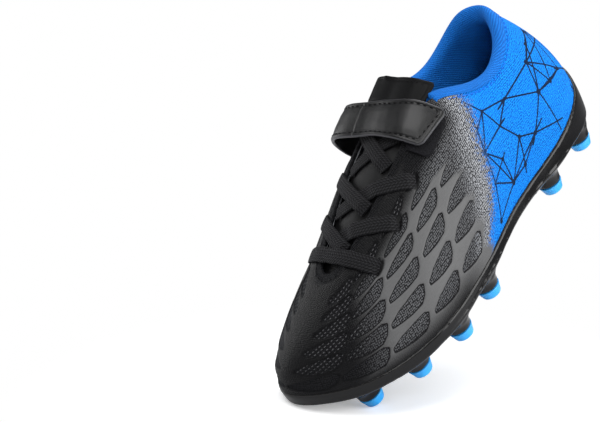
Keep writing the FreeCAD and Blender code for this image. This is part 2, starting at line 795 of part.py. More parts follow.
def level_at(levels, share):
    for (start, low), (end, high) in zip(levels, levels[1:]):
        if share <= end:
            return lerp(low, high, smooth(start, end, share))
    return levels[-1][1]


def lace(start, end, levels):
    """Flat strand, three points across."""
    outer, inner = [], []
    for share in spread(0.0, 1.0, 19):
        run, angle = lerp(start[0], end[0], share), lerp(start[1], end[1], share)
        radius = instep.radius(run, angle)
        d_run = end[0] - start[0]
        d_side = math.radians(end[1] - start[1]) * radius
        size = math.hypot(d_run, d_side)
        level = level_at(levels, share)
        top_row, low_row = [], []
        for across in (-0.5, 0.0, 0.5):
            side_run = run - d_side / size * LACE_WIDTH * across
            side_angle = angle + math.degrees(
                d_run / size * LACE_WIDTH * across / radius)
            crown = LACE_CROWN * (1 - 4 * across * across)
            top_row.append(instep.at(side_run, side_angle,
                                     level + LACE_THICK / 2 + crown))
            low_row.append(instep.at(side_run, side_angle, level - LACE_THICK / 2))
        outer.append(top_row)
        inner.append(low_row)
    return slab(outer, inner)


for label, start, end, levels in LACES:
    piece(label, lace(start, end, levels))

# ---------------------------------------------------------------- strap
STRAP_BACK = STRAP_FRONT + STRAP_WIDTH
STRAP_THICK, STRAP_LIFT = dim("strap_thick"), dim("strap_lift")
PAD = dim("pad_thick")
# Angles round the instep, in degrees, lateral positive.
ANCHOR_START, STRAP_END = -92.0, 51.0
MEDIAL_SEAM, LATERAL_SEAM, HALF_SEAM = -58.0, 24.0, 0.6
HOOK_TOP = STRAP_LIFT - 0.1
LOOP_LOW = GAP * 2 + FILM


def band(start, end, steps, front, back, lower, upper):
    """Strip round the instep between two heights, which may be functions."""
    return slab(*[
        [[instep.at(run, angle, value_at(lift, angle))
          for run in spread(front, back, 5)]
         for angle in spread(start, end, steps)]
        for lift in (upper, lower)])


def anchor_lift(angle):
    return lerp(0.6, STRAP_LIFT, smooth(ANCHOR_START, -66.0, angle))


piece("strap_anchor", band(
    ANCHOR_START, MEDIAL_SEAM - HALF_SEAM, 9, STRAP_FRONT, STRAP_BACK,
    anchor_lift, lambda angle: anchor_lift(angle) + STRAP_THICK))
piece("strap_bridge", band(
    MEDIAL_SEAM + HALF_SEAM, LATERAL_SEAM - HALF_SEAM, 13,
    STRAP_FRONT, STRAP_BACK, STRAP_LIFT, STRAP_LIFT + STRAP_THICK))
piece("strap_tip", band(
    LATERAL_SEAM + HALF_SEAM, STRAP_END, 7,
    STRAP_FRONT, STRAP_BACK, STRAP_LIFT, STRAP_LIFT + STRAP_THICK))
piece("strap_hook_pad", band(
    33.0, 49.5, 5, STRAP_FRONT + 2.0, STRAP_BACK - 2.0, HOOK_TOP - PAD, HOOK_TOP))
piece("strap_loop_pad", band(
    33.5, 55.0, 6, STRAP_FRONT + 1.0, STRAP_BACK - 3.0, LOOP_LOW, LOOP_LOW + PAD))


# ---------------------------------------------------------------- underfoot
def outline_face(label, inset):
    points = []
    for col in RING_COLS:
        x, y, _ = under(col, inset, 0.0)
        points.append(FreeCAD.Vector(x, y, 0))
    curve = Part.BSplineCurve()
    curve.interpolate(points, PeriodicFlag=True)
    return feature(label, Part.Face(Part.Wire([curve.toShape()])))


def profile_face(label, low, high):
    """Side view of a layer that follows the floor, clear of the boot's side."""
    edges = []
    for lift in (low, high):
        curve = Part.BSplineCurve()
        curve.interpolate([FreeCAD.Vector(x, -70, shoe.floor(x) + lift)
                           for x in spread(-14.0, 230.0, 45)])
        edges.append(curve.toShape())
    a, b = edges
    edges += [
        Part.makeLine(a.valueAt(a.FirstParameter), b.valueAt(b.FirstParameter)),
        Part.makeLine(a.valueAt(a.LastParameter), b.valueAt(b.LastParameter))]
    return feature(label, Part.Face(Part.Wire(Part.__sortEdges__(edges))))


def extrusion(label, base, direction, distance):
    obj = doc.addObject("Part::Extrusion", label)
    obj.Base = base
    obj.DirMode = "Custom"
    obj.Dir = direction
    obj.LengthFwd = distance
    obj.Solid = True
    return obj


def floor_layer(label, inset, low, high):
    """Layer under the foot: plan outline crossed with the side profile."""
    plan = extrusion(label + "_plan", outline_face(label + "_outline", inset),
                     FreeCAD.Vector(0, 0, 1), 60)
    side = extrusion(label + "_side", profile_face(label + "_profile", low, high),
                     FreeCAD.Vector(0, 1, 0), 140)
    obj = doc.addObject("Part::Common", label)
    obj.Label = label
    obj.Base, obj.Tool = plan, side
    return obj


BOARD_LOW = MARGIN_LIFT + UPPER + 0.25
SOCK_LOW = BOARD_LOW + dim("board_thick") + 0.15
COVER_LOW = SOCK_LOW + dim("sock_foam_thick") + GAP
for label, inset, low, thick in (
        ("forepart_filler", MARGIN + 0.5, MARGIN_LIFT, "filler_thick"),
        ("lasting_board", 2.0, BOARD_LOW, "board_thick"),
        ("sockliner_foam", 4.0, SOCK_LOW, "sock_foam_thick"),
        ("sockliner_cover", 4.1, COVER_LOW, "sock_cover_thick")):
    finish(floor_layer(label, inset, low, low + dim(thick)))

# ---------------------------------------------------------------- outsole
PLATE = dim("plate_thick")
RIM_THICK = dim("rim_thick")
WALL_CLEAR = 0.15            # between the upper and the plate's wall
WALL_TAPER = 0.5             # the wall thins by this towards its top
ROOT_BITE = 1.6              # stud base sunk into the plate
HOLE_ENTRY = 1.0             # peg hole starts this far below the stud base
HOLE_RELIEF = 0.3            # and ends this far beyond the peg
# place, x, y, height of the walking end
STUDS = [
    ("heel_rear_lateral", 18.4, 14.6, 1.0),
    ("heel_rear_medial", 18.6, -15.2, 1.0),
    ("heel_front_lateral", 49.9, 18.2, 1.0),
    ("heel_front_medial", 52.2, -17.4, 1.0),
    ("ball_rear_lateral", 118.2, 29.2, 1.0),
    ("ball_rear_medial", 132.9, -26.2, 1.0),
    ("ball_centre", 138.6, 3.0, 1.0),
    ("ball_middle_lateral", 143.5, 31.8, 1.0),
    ("ball_middle_medial", 159.6, -29.6, 1.2),
    ("ball_front_lateral", 168.2, 25.9, 1.9),
    ("toe_medial", 183.6, -16.2, 2.5),
    ("toe_lateral", 190.9, 14.2, 4.0),
]


def outsole_wall():
    """Wall of the plate round the foot of the upper."""
    def wall_curve(share, distance):
        return around(lambda col: shoe.off(
            col, shoe.rise_at(col, rim_height(col)) * share, distance))

    shares = spread(0, 1, 6)
    inside = [around(lambda col: under(col, -WALL_CLEAR, lift))
              for lift in (-2.2, -1.0)]
    inside += [wall_curve(share, WALL_CLEAR) for share in shares]
    outside = [wall_curve(share, WALL_CLEAR + RIM_THICK
                          - WALL_TAPER * share * share)
               for share in reversed(shares)]
    outside += [around(lambda col: under(col, inset - RIM_THICK, lift))
                for inset, lift in ((-0.1, -1.0), (0.1, -2.4))]
    return closed_ring([inside, [inside[-1], outside[0]],
                        outside, [outside[-1], inside[0]]])


def stud_root(place, x, y, foot):
    """Cone from the tip up into the plate."""
    cone = doc.addObject("Part::Cone", "root_" + place)
    cone.setExpression("Radius1", "Dims.stud_neck_radius")
    cone.setExpression("Radius2", "Dims.stud_root_radius")
    cone.Height = shoe.floor(x) - PLATE + ROOT_BITE - foot
    cone.Placement = FreeCAD.Placement(
        FreeCAD.Vector(x, y, foot), FreeCAD.Rotation())
    return cone


def peg_hole(place, x, y, foot):
    hole = doc.addObject("Part::Cylinder", "peg_hole_" + place)
    hole.setExpression("Radius", "Dims.stud_peg_radius + Dims.stud_peg_clearance")
    hole.setExpression("Height", "Dims.stud_peg_length + %s"
                       % (HOLE_ENTRY + HOLE_RELIEF))
    hole.Placement = FreeCAD.Placement(
        FreeCAD.Vector(x, y, foot - HOLE_ENTRY), FreeCAD.Rotation())
    return hole


def outsole_plate():
    wall = feature("outsole_wall", outsole_wall())
    plate = floor_layer("outsole_base", -dim("plate_overhang"), -PLATE, 0.0)
    roots, holes = [], []
    for place, x, y, z in STUDS:
        foot = z + dim("stud_tip_height")
        roots.append(stud_root(place, x, y, foot))
        holes.append(peg_hole(place, x, y, foot))
    body = doc.addObject("Part::MultiFuse", "outsole_body")
    body.Shapes = [wall, plate] + roots
    drill = doc.addObject("Part::MultiFuse", "peg_holes")
    drill.Shapes = holes
    outsole = doc.addObject("Part::Cut", "outsole_plate")
    outsole.Label = "outsole_plate"
    outsole.Base, outsole.Tool = body, drill
    return outsole


finish(outsole_plate())

# ---------------------------------------------------------------- stud tips
SHOULDER = "Dims.stud_tip_height - Dims.stud_tip_seam"
PEG_END = "Dims.stud_tip_height + Dims.stud_peg_length"
# Corners of the turned profile: radius and height the sketch is first drawn
# with, then what drives them; None holds the corner on the sketch axis.
TIP_PROFILE = [
    (0, 0.5, None, "Dims.stud_dimple_depth"),
    (1.6, 0, "Dims.stud_dimple_radius", None),
    (4.6, 0, "Dims.stud_tip_radius", None),
    (6.2, 4.92, "Dims.stud_tip_root_radius", SHOULDER),
    (2.4, 4.92, "Dims.stud_peg_radius", SHOULDER),
    (2.4, 8.0, "Dims.stud_peg_radius", PEG_END),
    (0, 8.0, None, PEG_END),
]
X_AXIS, Y_AXIS = -1, -2      # geometry numbers of the sketch axes


def origin_plane(body, role):
    for plane in body.Origin.OriginFeatures:
        if plane.Role == role:
            return plane


def drive_corner(sketch, corner, kind, name, start, expression, axis):
    """Bind one coordinate of a corner, or hold the corner on the axis."""
    if expression is None:
        sketch.addConstraint(Sketcher.Constraint("PointOnObject", corner, 1, axis))
        return
    number = sketch.addConstraint(Sketcher.Constraint(
        kind, -1, 1, corner, 1, start))
    sketch.renameConstraint(number, name)
    sketch.setExpression("Constraints." + name, expression)


def stud_tip(label, x, y, z):
    """Turned tip: dimple, walking end, flank, shoulder and locking peg."""
    body = doc.addObject("PartDesign::Body", label)
    body.Label = label
    sketch = body.newObject("Sketcher::SketchObject", label + "_profile")
    sketch.AttachmentSupport = [(origin_plane(body, "XZ_Plane"), "")]
    sketch.MapMode = "FlatFace"
    count = len(TIP_PROFILE)
    for i in range(count):
        ends = [FreeCAD.Vector(corner[0], corner[1], 0)
                for corner in (TIP_PROFILE[i], TIP_PROFILE[(i + 1) % count])]
        sketch.addGeometry(Part.LineSegment(*ends), False)
    for i in range(count):
        sketch.addConstraint(Sketcher.Constraint(
            "Coincident", i, 2, (i + 1) % count, 1))
    for i, (radius, height, radius_by, height_by) in enumerate(TIP_PROFILE):
        drive_corner(sketch, i, "DistanceX", "rx%d" % i, radius, radius_by, Y_AXIS)
        drive_corner(sketch, i, "DistanceY", "rz%d" % i, height, height_by, X_AXIS)
    turned = body.newObject("PartDesign::Revolution", label + "_turned")
    turned.Profile = (sketch, [""])
    turned.ReferenceAxis = (sketch, ["V_Axis"])
    turned.Angle = 360.0
    sketch.Visibility = False
    body.Tip = turned
    body.Placement = FreeCAD.Placement(
        FreeCAD.Vector(x, y, z) + SHIFT, FreeCAD.Rotation())
    pieces.append(body)


for place, x, y, z in STUDS:
    stud_tip("stud_tip_" + place, x, y, z)

# ---------------------------------------------------------------- check, save
doc.recompute()
bad = [obj.Label for obj in doc.Objects
       if "Invalid" in obj.State or "Error" in obj.State]
if bad:
    raise RuntimeError("failed objects: %s" % bad)
if len(set(obj.Label for obj in pieces)) != len(pieces):
    raise RuntimeError("labels repeat")
for obj in pieces:
    shape = obj.Shape
    if shape.isNull() or not shape.isValid() or shape.Volume <= 0:
        raise RuntimeError("bad shape: %s" % obj.Label)
    if len(shape.Solids) != 1:
        raise RuntimeError("%s has %d solids" % (obj.Label, len(shape.Solids)))

os.makedirs("parts", exist_ok=True)
for obj in pieces:
    obj.Shape.exportStep("parts/%s.step" % obj.Label)
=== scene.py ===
import math

import bmesh
import bpy
import numpy as np
from mathutils import Matrix, Vector


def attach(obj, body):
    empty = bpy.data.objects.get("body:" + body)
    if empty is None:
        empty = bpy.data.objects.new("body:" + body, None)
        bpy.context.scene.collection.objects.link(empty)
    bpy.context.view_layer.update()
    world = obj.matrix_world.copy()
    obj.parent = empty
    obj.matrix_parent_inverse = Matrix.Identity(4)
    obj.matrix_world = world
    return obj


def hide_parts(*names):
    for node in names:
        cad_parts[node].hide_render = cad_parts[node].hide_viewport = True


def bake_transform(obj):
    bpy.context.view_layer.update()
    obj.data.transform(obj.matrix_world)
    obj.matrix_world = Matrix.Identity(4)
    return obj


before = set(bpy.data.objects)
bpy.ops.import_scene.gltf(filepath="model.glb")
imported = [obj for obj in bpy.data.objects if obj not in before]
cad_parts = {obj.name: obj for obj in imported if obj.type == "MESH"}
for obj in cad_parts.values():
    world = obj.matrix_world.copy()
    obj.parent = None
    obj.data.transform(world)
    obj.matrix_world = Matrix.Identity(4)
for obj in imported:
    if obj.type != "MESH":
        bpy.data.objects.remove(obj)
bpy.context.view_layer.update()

# =============================================================== shape core
# The same table of sections as the CAD source, in millimetres, heel at x 0.
SHIFT = np.array([-106.17, -1.76, -1.0])
KEYS = np.array([
    (0.0, 0.0, 13.0, -3.0, 85.0, 16.0, 27.0, 22.0, 0.52, 0.02, 0.85),
    (4.5, 11.5, 17.5, 7.0, 83.6, 15.0, 26.0, 21.0, 0.44, -0.24, 0.86),
    (16.0, 21.2, 27.5, 14.6, 77.6, 13.0, 23.0, 20.0, 0.24, -0.4, 0.88),
    (38.0, 26.4, 43.0, 19.0, 73.0, 12.0, 21.0, 18.0, 0.06, -0.42, 0.9),
    (61.0, 27.0, 59.0, 20.0, 76.0, 12.0, 20.0, 18.0, 0.02, -0.42, 0.9),
    (83.0, 29.2, 73.0, 19.3, 84.6, 13.0, 20.0, 21.0, -0.04, -0.6, 0.8),
    (105.0, 34.2, 87.0, 16.0, 87.4, 13.0, 21.0, 23.0, -0.1, -0.8, 0.58),
    (127.5, 37.6, 110.0, 14.8, 80.2, 14.0, 21.0, 22.0, -0.16, -0.86, 0.46),
    (151.0, 38.9, 132.5, 13.3, 71.6, 15.0, 20.0, 22.0, -0.22, -0.87, 0.42),
    (175.5, 34.4, 152.5, 9.6, 63.6, 15.0, 18.5, 23.0, -0.45, -0.76, 0.4),
    (197.5, 21.8, 163.0, 5.6, 59.5, 14.0, 17.5, 28.0, -0.8, -0.42, 0.38),
    (214.0, -4.6, 166.5, -0.8, 58.3, 12.0, 17.0, 32.0, -0.93, 0.03, 0.37),
    (201.5, -26.2, 163.0, -7.2, 59.5, 13.0, 17.5, 28.0, -0.8, 0.44, 0.38),
    (177.0, -33.6, 152.5, -11.0, 63.6, 14.0, 18.5, 23.0, -0.45, 0.76, 0.4),
    (151.5, -35.4, 132.5, -14.8, 71.6, 13.0, 20.0, 22.0, -0.22, 0.87, 0.42),
    (127.0, -31.6, 110.0, -16.6, 80.2, 12.0, 21.0, 22.0, -0.16, 0.86, 0.46),
    (103.0, -26.8, 87.0, -18.2, 87.6, 11.0, 21.0, 23.0, -0.1, 0.8, 0.58),
    (81.0, -22.8, 73.0, -22.4, 86.4, 12.0, 20.0, 21.0, -0.04, 0.56, 0.83),
    (59.0, -22.4, 58.5, -26.2, 78.6, 12.0, 20.0, 18.0, 0.02, 0.34, 0.94),
    (36.0, -24.0, 43.0, -26.4, 76.0, 12.0, 21.0, 18.0, 0.08, 0.32, 0.94),
    (15.5, -20.6, 27.0, -22.3, 80.8, 13.0, 23.0, 20.0, 0.24, 0.28, 0.93),
    (4.5, -11.2, 17.5, -13.6, 85.2, 15.0, 26.0, 21.0, 0.44, 0.18, 0.88),
], float)
NK = 22.0
FLOOR = [(0, 17.6), (30, 17.2), (60, 17.6), (90, 18.0), (120, 16.4),
         (145, 15.5), (165, 16.0), (185, 18.2), (200, 20.8), (212, 23.6)]
RIM = [20.0, 17.0, 12.0, 8.0, 5.5, 4.5, 4.0, 4.0, 4.0, 4.0, 4.5,
       5.5, 4.5, 4.0, 4.0, 4.0, 4.0, 4.5, 5.5, 8.0, 12.0, 17.0]
STUDS = [
    ("heel_rear_lateral", 18.4, 14.6, 1.0),
    ("heel_rear_medial", 18.6, -15.2, 1.0),
    ("heel_front_lateral", 49.9, 18.2, 1.0),
    ("heel_front_medial", 52.2, -17.4, 1.0),
    ("ball_rear_lateral", 118.2, 29.2, 1.0),
    ("ball_rear_medial", 132.9, -26.2, 1.0),
    ("ball_centre", 138.6, 3.0, 1.0),
    ("ball_middle_lateral", 143.5, 31.8, 1.0),
    ("ball_middle_medial", 159.6, -29.6, 1.2),
    ("ball_front_lateral", 168.2, 25.9, 1.9),
    ("toe_medial", 183.6, -16.2, 2.5),
    ("toe_lateral", 190.9, 14.2, 4.0),
]


def to_frame(p):
    return (np.asarray(p, float) + SHIFT) / 1000.0


def smooth(a, b, v):
    u = np.clip((np.asarray(v, float) - a) / (b - a), 0, 1)
    return u * u * (3 - 2 * u)


def lerp(a, b, k):
    return a + (b - a) * k


def unit(v):
    v = np.asarray(v, float)
    return v / np.maximum(np.linalg.norm(v, axis=-1, keepdims=True), 1e-12)


def col(a):
    return np.asarray(a, float)[..., None]


class Spline:
    """Natural cubic spline, straight beyond its ends."""

    def __init__(self, x, y):
        self.x, self.y = np.array(x, float), np.array(y, float)
        n = len(self.x)
        h = np.diff(self.x)
        a, b = np.zeros((n, n)), np.zeros(n)
        a[0, 0] = a[-1, -1] = 1
        for i in range(1, n - 1):
            a[i, i - 1], a[i, i], a[i, i + 1] = h[i - 1], 2 * (h[i - 1] + h[i]), h[i]
            b[i] = 6 * ((self.y[i + 1] - self.y[i]) / h[i]
                        - (self.y[i] - self.y[i - 1]) / h[i - 1])
        self.m = np.linalg.solve(a, b)
        m = self.m
        self.g0 = (self.y[1] - self.y[0]) / h[0] - h[0] * (2 * m[0] + m[1]) / 6
        self.g1 = (self.y[-1] - self.y[-2]) / h[-1] + h[-1] * (m[-2] + 2 * m[-1]) / 6

    def __call__(self, v):
        v = np.asarray(v, float)
        x, y, m = self.x, self.y, self.m
        c = np.clip(v, x[0], x[-1])
        k = np.clip(np.searchsorted(x, c, side="right") - 1, 0, len(x) - 2)
        h = x[k + 1] - x[k]
        u, w = x[k + 1] - c, c - x[k]
        out = (m[k] * u ** 3 / (6 * h) + m[k + 1] * w ** 3 / (6 * h)
               + (y[k] / h - m[k] * h / 6) * u + (y[k + 1] / h - m[k + 1] * h / 6) * w)
        return out + np.minimum(v - x[0], 0) * self.g0 + np.maximum(v - x[-1], 0) * self.g1


class Ring:
    """Closed cubic spline through values at 0, 1, 2 ..."""

    def __init__(self, vals):
        n = len(vals)
        s = Spline(range(-n, 2 * n), list(vals) * 3)
        self.n, self.y, self.m = n, np.array(vals, float), s.m[n:2 * n]

    def __call__(self, v):
        v = np.asarray(v, float)
        k = np.floor(v).astype(int)
        w = v - k
        u = 1.0 - w
        i, j = k % self.n, (k + 1) % self.n
        return (self.m[i] * (u ** 3 - u) / 6 + self.m[j] * (w ** 3 - w) / 6
                + self.y[i] * u + self.y[j] * w)


FR = [Ring(list(KEYS[:, i])) for i in range(11)]
floor_z = Spline([p[0] for p in FLOOR], [p[1] for p in FLOOR])
rim_ring = Ring(RIM)


def outline(s):
    return FR[0](s), FR[1](s)


def outward(s):
    e = 1e-3
    x0, y0 = outline(s - e)
    x1, y1 = outline(s + e)
    tx, ty = x1 - x0, y1 - y0
    n = np.hypot(tx, ty)
    return -ty / n, tx / n


def wall(s, t):
    """Outer face of the upper: s round the boot, t from feather line to top."""
    s, t = np.broadcast_arrays(np.asarray(s, float), np.asarray(t, float))
    bx, by = outline(s)
    bz = floor_z(bx) + 0.4
    lean = np.radians(FR[5](s))
    nx, ny = outward(s)
    hb, ht = FR[6](s), FR[7](s)
    d1 = unit(np.stack([FR[8](s), FR[9](s), FR[10](s)], -1))
    p0 = np.stack([bx, by, bz], -1)
    p1 = np.stack([bx + nx * np.sin(lean) * hb, by + ny * np.sin(lean) * hb,
                   bz + np.cos(lean) * hb], -1)
    p3 = np.stack([FR[2](s), FR[3](s), FR[4](s)], -1)
    p2 = p3 - d1 * col(ht)
    t = col(t)
    u = 1 - t
    return u ** 3 * p0 + 3 * u * u * t * p1 + 3 * u * t * t * p2 + t ** 3 * p3


def wall_n(s, t):
    s, t = np.broadcast_arrays(np.asarray(s, float), np.asarray(t, float))
    a = wall(s + 0.02, t) - wall(s - 0.02, t)
    b = wall(s, np.minimum(1.0, t + 0.01)) - wall(s, np.maximum(0.0, t - 0.01))
    return unit(np.cross(b, a))


def off(s, t, d):
    return wall(s, t) + wall_n(s, t) * col(d)


def t_at(s, h):
    """t where the wall stands h above the floor at its foot."""
    s = np.asarray(s, float)
    z = floor_z(outline(s)[0]) + h
    lo, hi = np.zeros_like(s), np.ones_like(s)
    for _ in range(24):
        m = (lo + hi) / 2
        low = wall(s, m)[..., 2] < z
        lo, hi = np.where(low, m, lo), np.where(low, hi, m)
    return (lo + hi) / 2


def edge_dir(s):
    return unit(np.stack([FR[8](s), FR[9](s), FR[10](s)], -1))


def dome(s, w):
    s, w = np.broadcast_arrays(np.asarray(s, float), np.asarray(w, float))
    a, da = wall(s, 1.0), edge_dir(s)
    e, de = wall(22.0 - s, 1.0), edge_dir(22.0 - s)
    k = 0.38 * np.linalg.norm(a - e, axis=-1, keepdims=True)
    b, c = a + da * k, e + de * k
    w = col(w)
    u = 1 - w
    return u ** 3 * a + 3 * u * u * w * b + 3 * u * w * w * c + w ** 3 * e


IQ = np.array([-0.94, 0.0, 0.341])
IU = np.array([0.341, 0.0, 0.94])
IDEPTH = 26.0
IO = wall(11.0, 1.0)
IO = np.array([IO[0], -0.5, IO[2]])


def polar(p):
    v = p - IO
    h, y = v @ IU + IDEPTH, v[..., 1]
    return v @ IQ, np.degrees(np.arctan2(y, h)), np.hypot(y, h)


def instep_table():
    """Radius of the closed instep on a grid of (distance up, angle)."""
    sw, tw = np.meshgrid(11.0 + np.arange(-40, 41) * 0.175,
                         np.arange(31) / 30.0, indexing="ij")
    sd, td = np.meshgrid(11.0 - np.arange(40) * 0.17,
                         np.arange(21) / 20.0, indexing="ij")
    qw, fw, _ = polar(wall(sw, tw))
    qd, fd, _ = polar(dome(sd, td))
    cq = np.concatenate([qw.ravel(), qd.ravel()])
    cf = np.concatenate([fw.ravel(), fd.ravel()])
    kind = np.concatenate([np.zeros(qw.size, int), np.ones(qd.size, int)])
    cs = np.concatenate([sw.ravel(), sd.ravel()])
    ct = np.concatenate([tw.ravel(), td.ravel()])
    tq, tf = np.meshgrid(-30.0 + np.arange(33) * 4.0,
                         -105.0 + np.arange(29) * 7.5, indexing="ij")
    tq, tf = tq.ravel(), tf.ravel()
    best = np.argsort((cq[None] - tq[:, None]) ** 2
                      + ((cf[None] - tf[:, None]) * 0.5) ** 2,
                      axis=1, kind="stable")[:, :3]
    miss, rad = np.zeros(best.shape), np.zeros(best.shape)
    for c in range(3):
        k = best[:, c]
        s, t, kd = cs[k].copy(), ct[k].copy(), kind[k] == 1

        def at(s_, t_):
            pw, pd = wall(s_, t_), dome(s_, t_)
            return polar(np.where(kd[:, None], pd, pw))
        live = np.ones(len(k), bool)
        for _ in range(8):
            p, ps, pt = at(s, t), at(s + 0.01, t), at(s, t + 0.01)
            a, b = (ps[0] - p[0]) / 0.01, (pt[0] - p[0]) / 0.01
            g, h = (ps[1] - p[1]) / 0.01, (pt[1] - p[1]) / 0.01
            det = a * h - b * g
            live &= np.abs(det) >= 1e-6
            det = np.where(live, det, 1.0)
            rq, rf = tq - p[0], tf - p[1]
            ds = np.clip((rq * h - rf * b) / det, -.5, .5)
            dt = np.clip((a * rf - g * rq) / det, -.15, .15)
            s = np.where(live, s + ds, s)
            t = np.where(live, np.clip(t + dt, -0.05, 1.05), t)
            s = np.where(kd, np.minimum(11.0, s), s)
        p = at(s, t)
        miss[:, c] = np.abs(p[0] - tq) + np.abs(p[1] - tf) * 0.5
        rad[:, c] = p[2]
    good = np.where(miss < 0.3, rad, -1)
    out = np.where(good.max(1) > 0, good.max(1),
                   rad[np.arange(len(rad)), miss.argmin(1)])
    return out.reshape(33, 29)


IROWS = instep_table()


def cr4(f):
    return [((-f + 2) * f - 1) * f / 2, ((3 * f - 5) * f * f + 2) / 2,
            ((-3 * f + 4) * f + 1) * f / 2, (f - 1) * f * f / 2]


def radius(q, phi):
    u, v = (np.asarray(q, float) + 30.0) / 4.0, (np.asarray(phi, float) + 105.0) / 7.5
    i = np.clip(np.floor(u).astype(int), 1, 30)
    j = np.clip(np.floor(v).astype(int), 1, 26)
    wu, wv = cr4(u - i), cr4(v - j)
    r = 0.0
    for a in range(4):
        for b in range(4):
            r = r + wu[a] * wv[b] * IROWS[i - 1 + a, j - 1 + b]
    return r


def ibase(q, phi):
    q, phi = np.broadcast_arrays(np.asarray(q, float), np.asarray(phi, float))
    r = radius(np.minimum(q, 86.0), phi)
    c, y = np.cos(np.radians(phi)), np.sin(np.radians(phi))
    return (IO + IQ * col(q) + IU * col(r * c - IDEPTH)
            + np.array([0, 1.0, 0]) * col(r * y))


def inormal(q, phi):
    a = ibase(q + 0.5, phi) - ibase(q - 0.5, phi)
    b = ibase(q, phi + 1.0) - ibase(q, phi - 1.0)
    return unit(np.cross(b, a))


def iat(q, phi, d=0.0):
    q, phi = np.broadcast_arrays(np.asarray(q, float), np.asarray(phi, float))
    return ibase(q, phi) + inormal(q, phi) * col(d)


def throat(q):
    return 9.0 + 19.0 * smooth(-4, 55, q)


def tongue_half(q):
    return lerp(lerp(24.0, 42.0, smooth(-10, 30, q)), 27.0, smooth(60, 92, q))


def tongue_d(q, phi):
    w = throat(q)
    return -2.85 + 1.15 * (1 - smooth(0.45, 1.05, np.abs(phi) / w)) * smooth(0, 12, q)


# =============================================================== mesh helpers
def new_mesh(name, verts, faces, smooth_=True, mats=(), slots=None):
    """verts in millimetres; faces is a list of (n, k) index arrays."""
    v = to_frame(verts).astype(np.float32)
    me = bpy.data.meshes.new(name)
    me.vertices.add(len(v))
    me.vertices.foreach_set("co", v.ravel())
    faces = [np.asarray(f, int) for f in faces if len(f)]
    total = np.concatenate([np.full(len(f), f.shape[1]) for f in faces])
    loops = np.concatenate([f.ravel() for f in faces])
    start = np.concatenate([[0], np.cumsum(total)[:-1]])
    me.loops.add(len(loops))
    me.loops.foreach_set("vertex_index", loops.astype(np.int32))
    me.polygons.add(len(total))
    me.polygons.foreach_set("loop_start", start.astype(np.int32))
    me.polygons.foreach_set("loop_total", total.astype(np.int32))
    me.polygons.foreach_set("use_smooth", np.full(len(total), smooth_))
    for m in mats:
        me.materials.append(m)
    if slots is not None:
        me.polygons.foreach_set("material_index", np.concatenate(
            [np.asarray(s, np.int32) for s in slots if len(s)]))
    me.update(calc_edges=True)
    me.validate()
    ob = bpy.data.objects.new(name, me)
    bpy.context.scene.collection.objects.link(ob)
    return ob


def grid(nu, nv, wrap_u=False, wrap_v=False, flip=False, base=0):
    iu = np.arange(nu if wrap_u else nu - 1)
    iv = np.arange(nv if wrap_v else nv - 1)
    a, b = np.meshgrid(iu, iv, indexing="ij")
    a2, b2 = (a + 1) % nu, (b + 1) % nv
    f = np.stack([a * nv + b, a2 * nv + b, a2 * nv + b2, a * nv + b2], -1).reshape(-1, 4)
    if flip:
        f = f[:, ::-1]
    return f + base


def fan(ring_idx, centre, flip=False):
    r = np.asarray(ring_idx)
    f = np.stack([r, np.roll(r, -1), np.full(len(r), centre)], -1)
    return f[:, ::-1] if flip else f


class Builder:
    """Collects closed parts of one mesh, with slots and point attributes."""

    def __init__(self):
        self.v, self.f, self.s, self.attr, self.n = [], [], [], {}, 0

    def add(self, verts, faces, slot=0, **attrs):
        verts = np.asarray(verts, float).reshape(-1, 3)
        for f in faces:
            f = np.asarray(f, int)
            if len(f):
                self.f.append(f + self.n)
                self.s.append(np.full(len(f), slot))
        for k, a in attrs.items():
            self.attr.setdefault(k, []).append((self.n, np.asarray(a, float)))
        self.v.append(verts)
        self.n += len(verts)

    def tube(self, rings, slot=0, wrap=False, **attrs):
        """rings (nu, nk, 3) closed in k; capped unless it wraps."""
        rings = np.asarray(rings, float)
        nu, nk = rings.shape[:2]
        v = rings.reshape(-1, 3)
        faces = [grid(nu, nk, wrap, True)]
        if not wrap:
            c0, c1 = rings[0].mean(0), rings[-1].mean(0)
            v = np.vstack([v, c0, c1])
            faces.append(fan(np.arange(nk), nu * nk))
            faces.append(fan(np.arange(nk) + (nu - 1) * nk, nu * nk + 1, True))
            for k in list(attrs):
                a = np.asarray(attrs[k], float)
                a = a.reshape(nu * nk, -1)
                attrs[k] = np.vstack([a, a[:1], a[-1:]])
        self.add(v, faces, slot, **attrs)

    def make(self, name, mats, smooth_=True):
        v = np.vstack(self.v)
        ob = new_mesh(name, v, self.f, smooth_, mats, self.s)
        for k, parts in self.attr.items():
            first = np.asarray(parts[0][1])
            dim = 1 if first.ndim == 1 or first.shape[-1] == 1 else 3
            full = np.zeros((len(v), dim))
            for at, a in parts:
                a = np.asarray(a, float).reshape(-1, dim)
                full[at:at + len(a)] = a
            set_attr(ob, k, full if dim == 3 else full[:, 0])
        fix_out(ob)
        return ob


def fix_out(ob):
    """Turn every shell so that its faces look outward."""
    bm = bmesh.new()
    bm.from_mesh(ob.data)
    bmesh.ops.recalc_face_normals(bm, faces=bm.faces)
    bm.to_mesh(ob.data)
    bm.free()
    ob.data.update()


def set_attr(ob, name, vals):
    vals = np.asarray(vals, float)
    me = ob.data
    if vals.ndim == 1:
        a = me.attributes.new(name, "FLOAT", "POINT")
        a.data.foreach_set("value", vals.astype(np.float32))
    else:
        a = me.attributes.new(name, "FLOAT_VECTOR", "POINT")
        a.data.foreach_set("vector", vals.astype(np.float32).ravel())


def get_co(ob):
    """Vertices in millimetres, heel at x 0."""
    v = np.zeros(len(ob.data.vertices) * 3, np.float32)
    ob.data.vertices.foreach_get("co", v)
    return v.reshape(-1, 3).astype(float) * 1000.0 - SHIFT


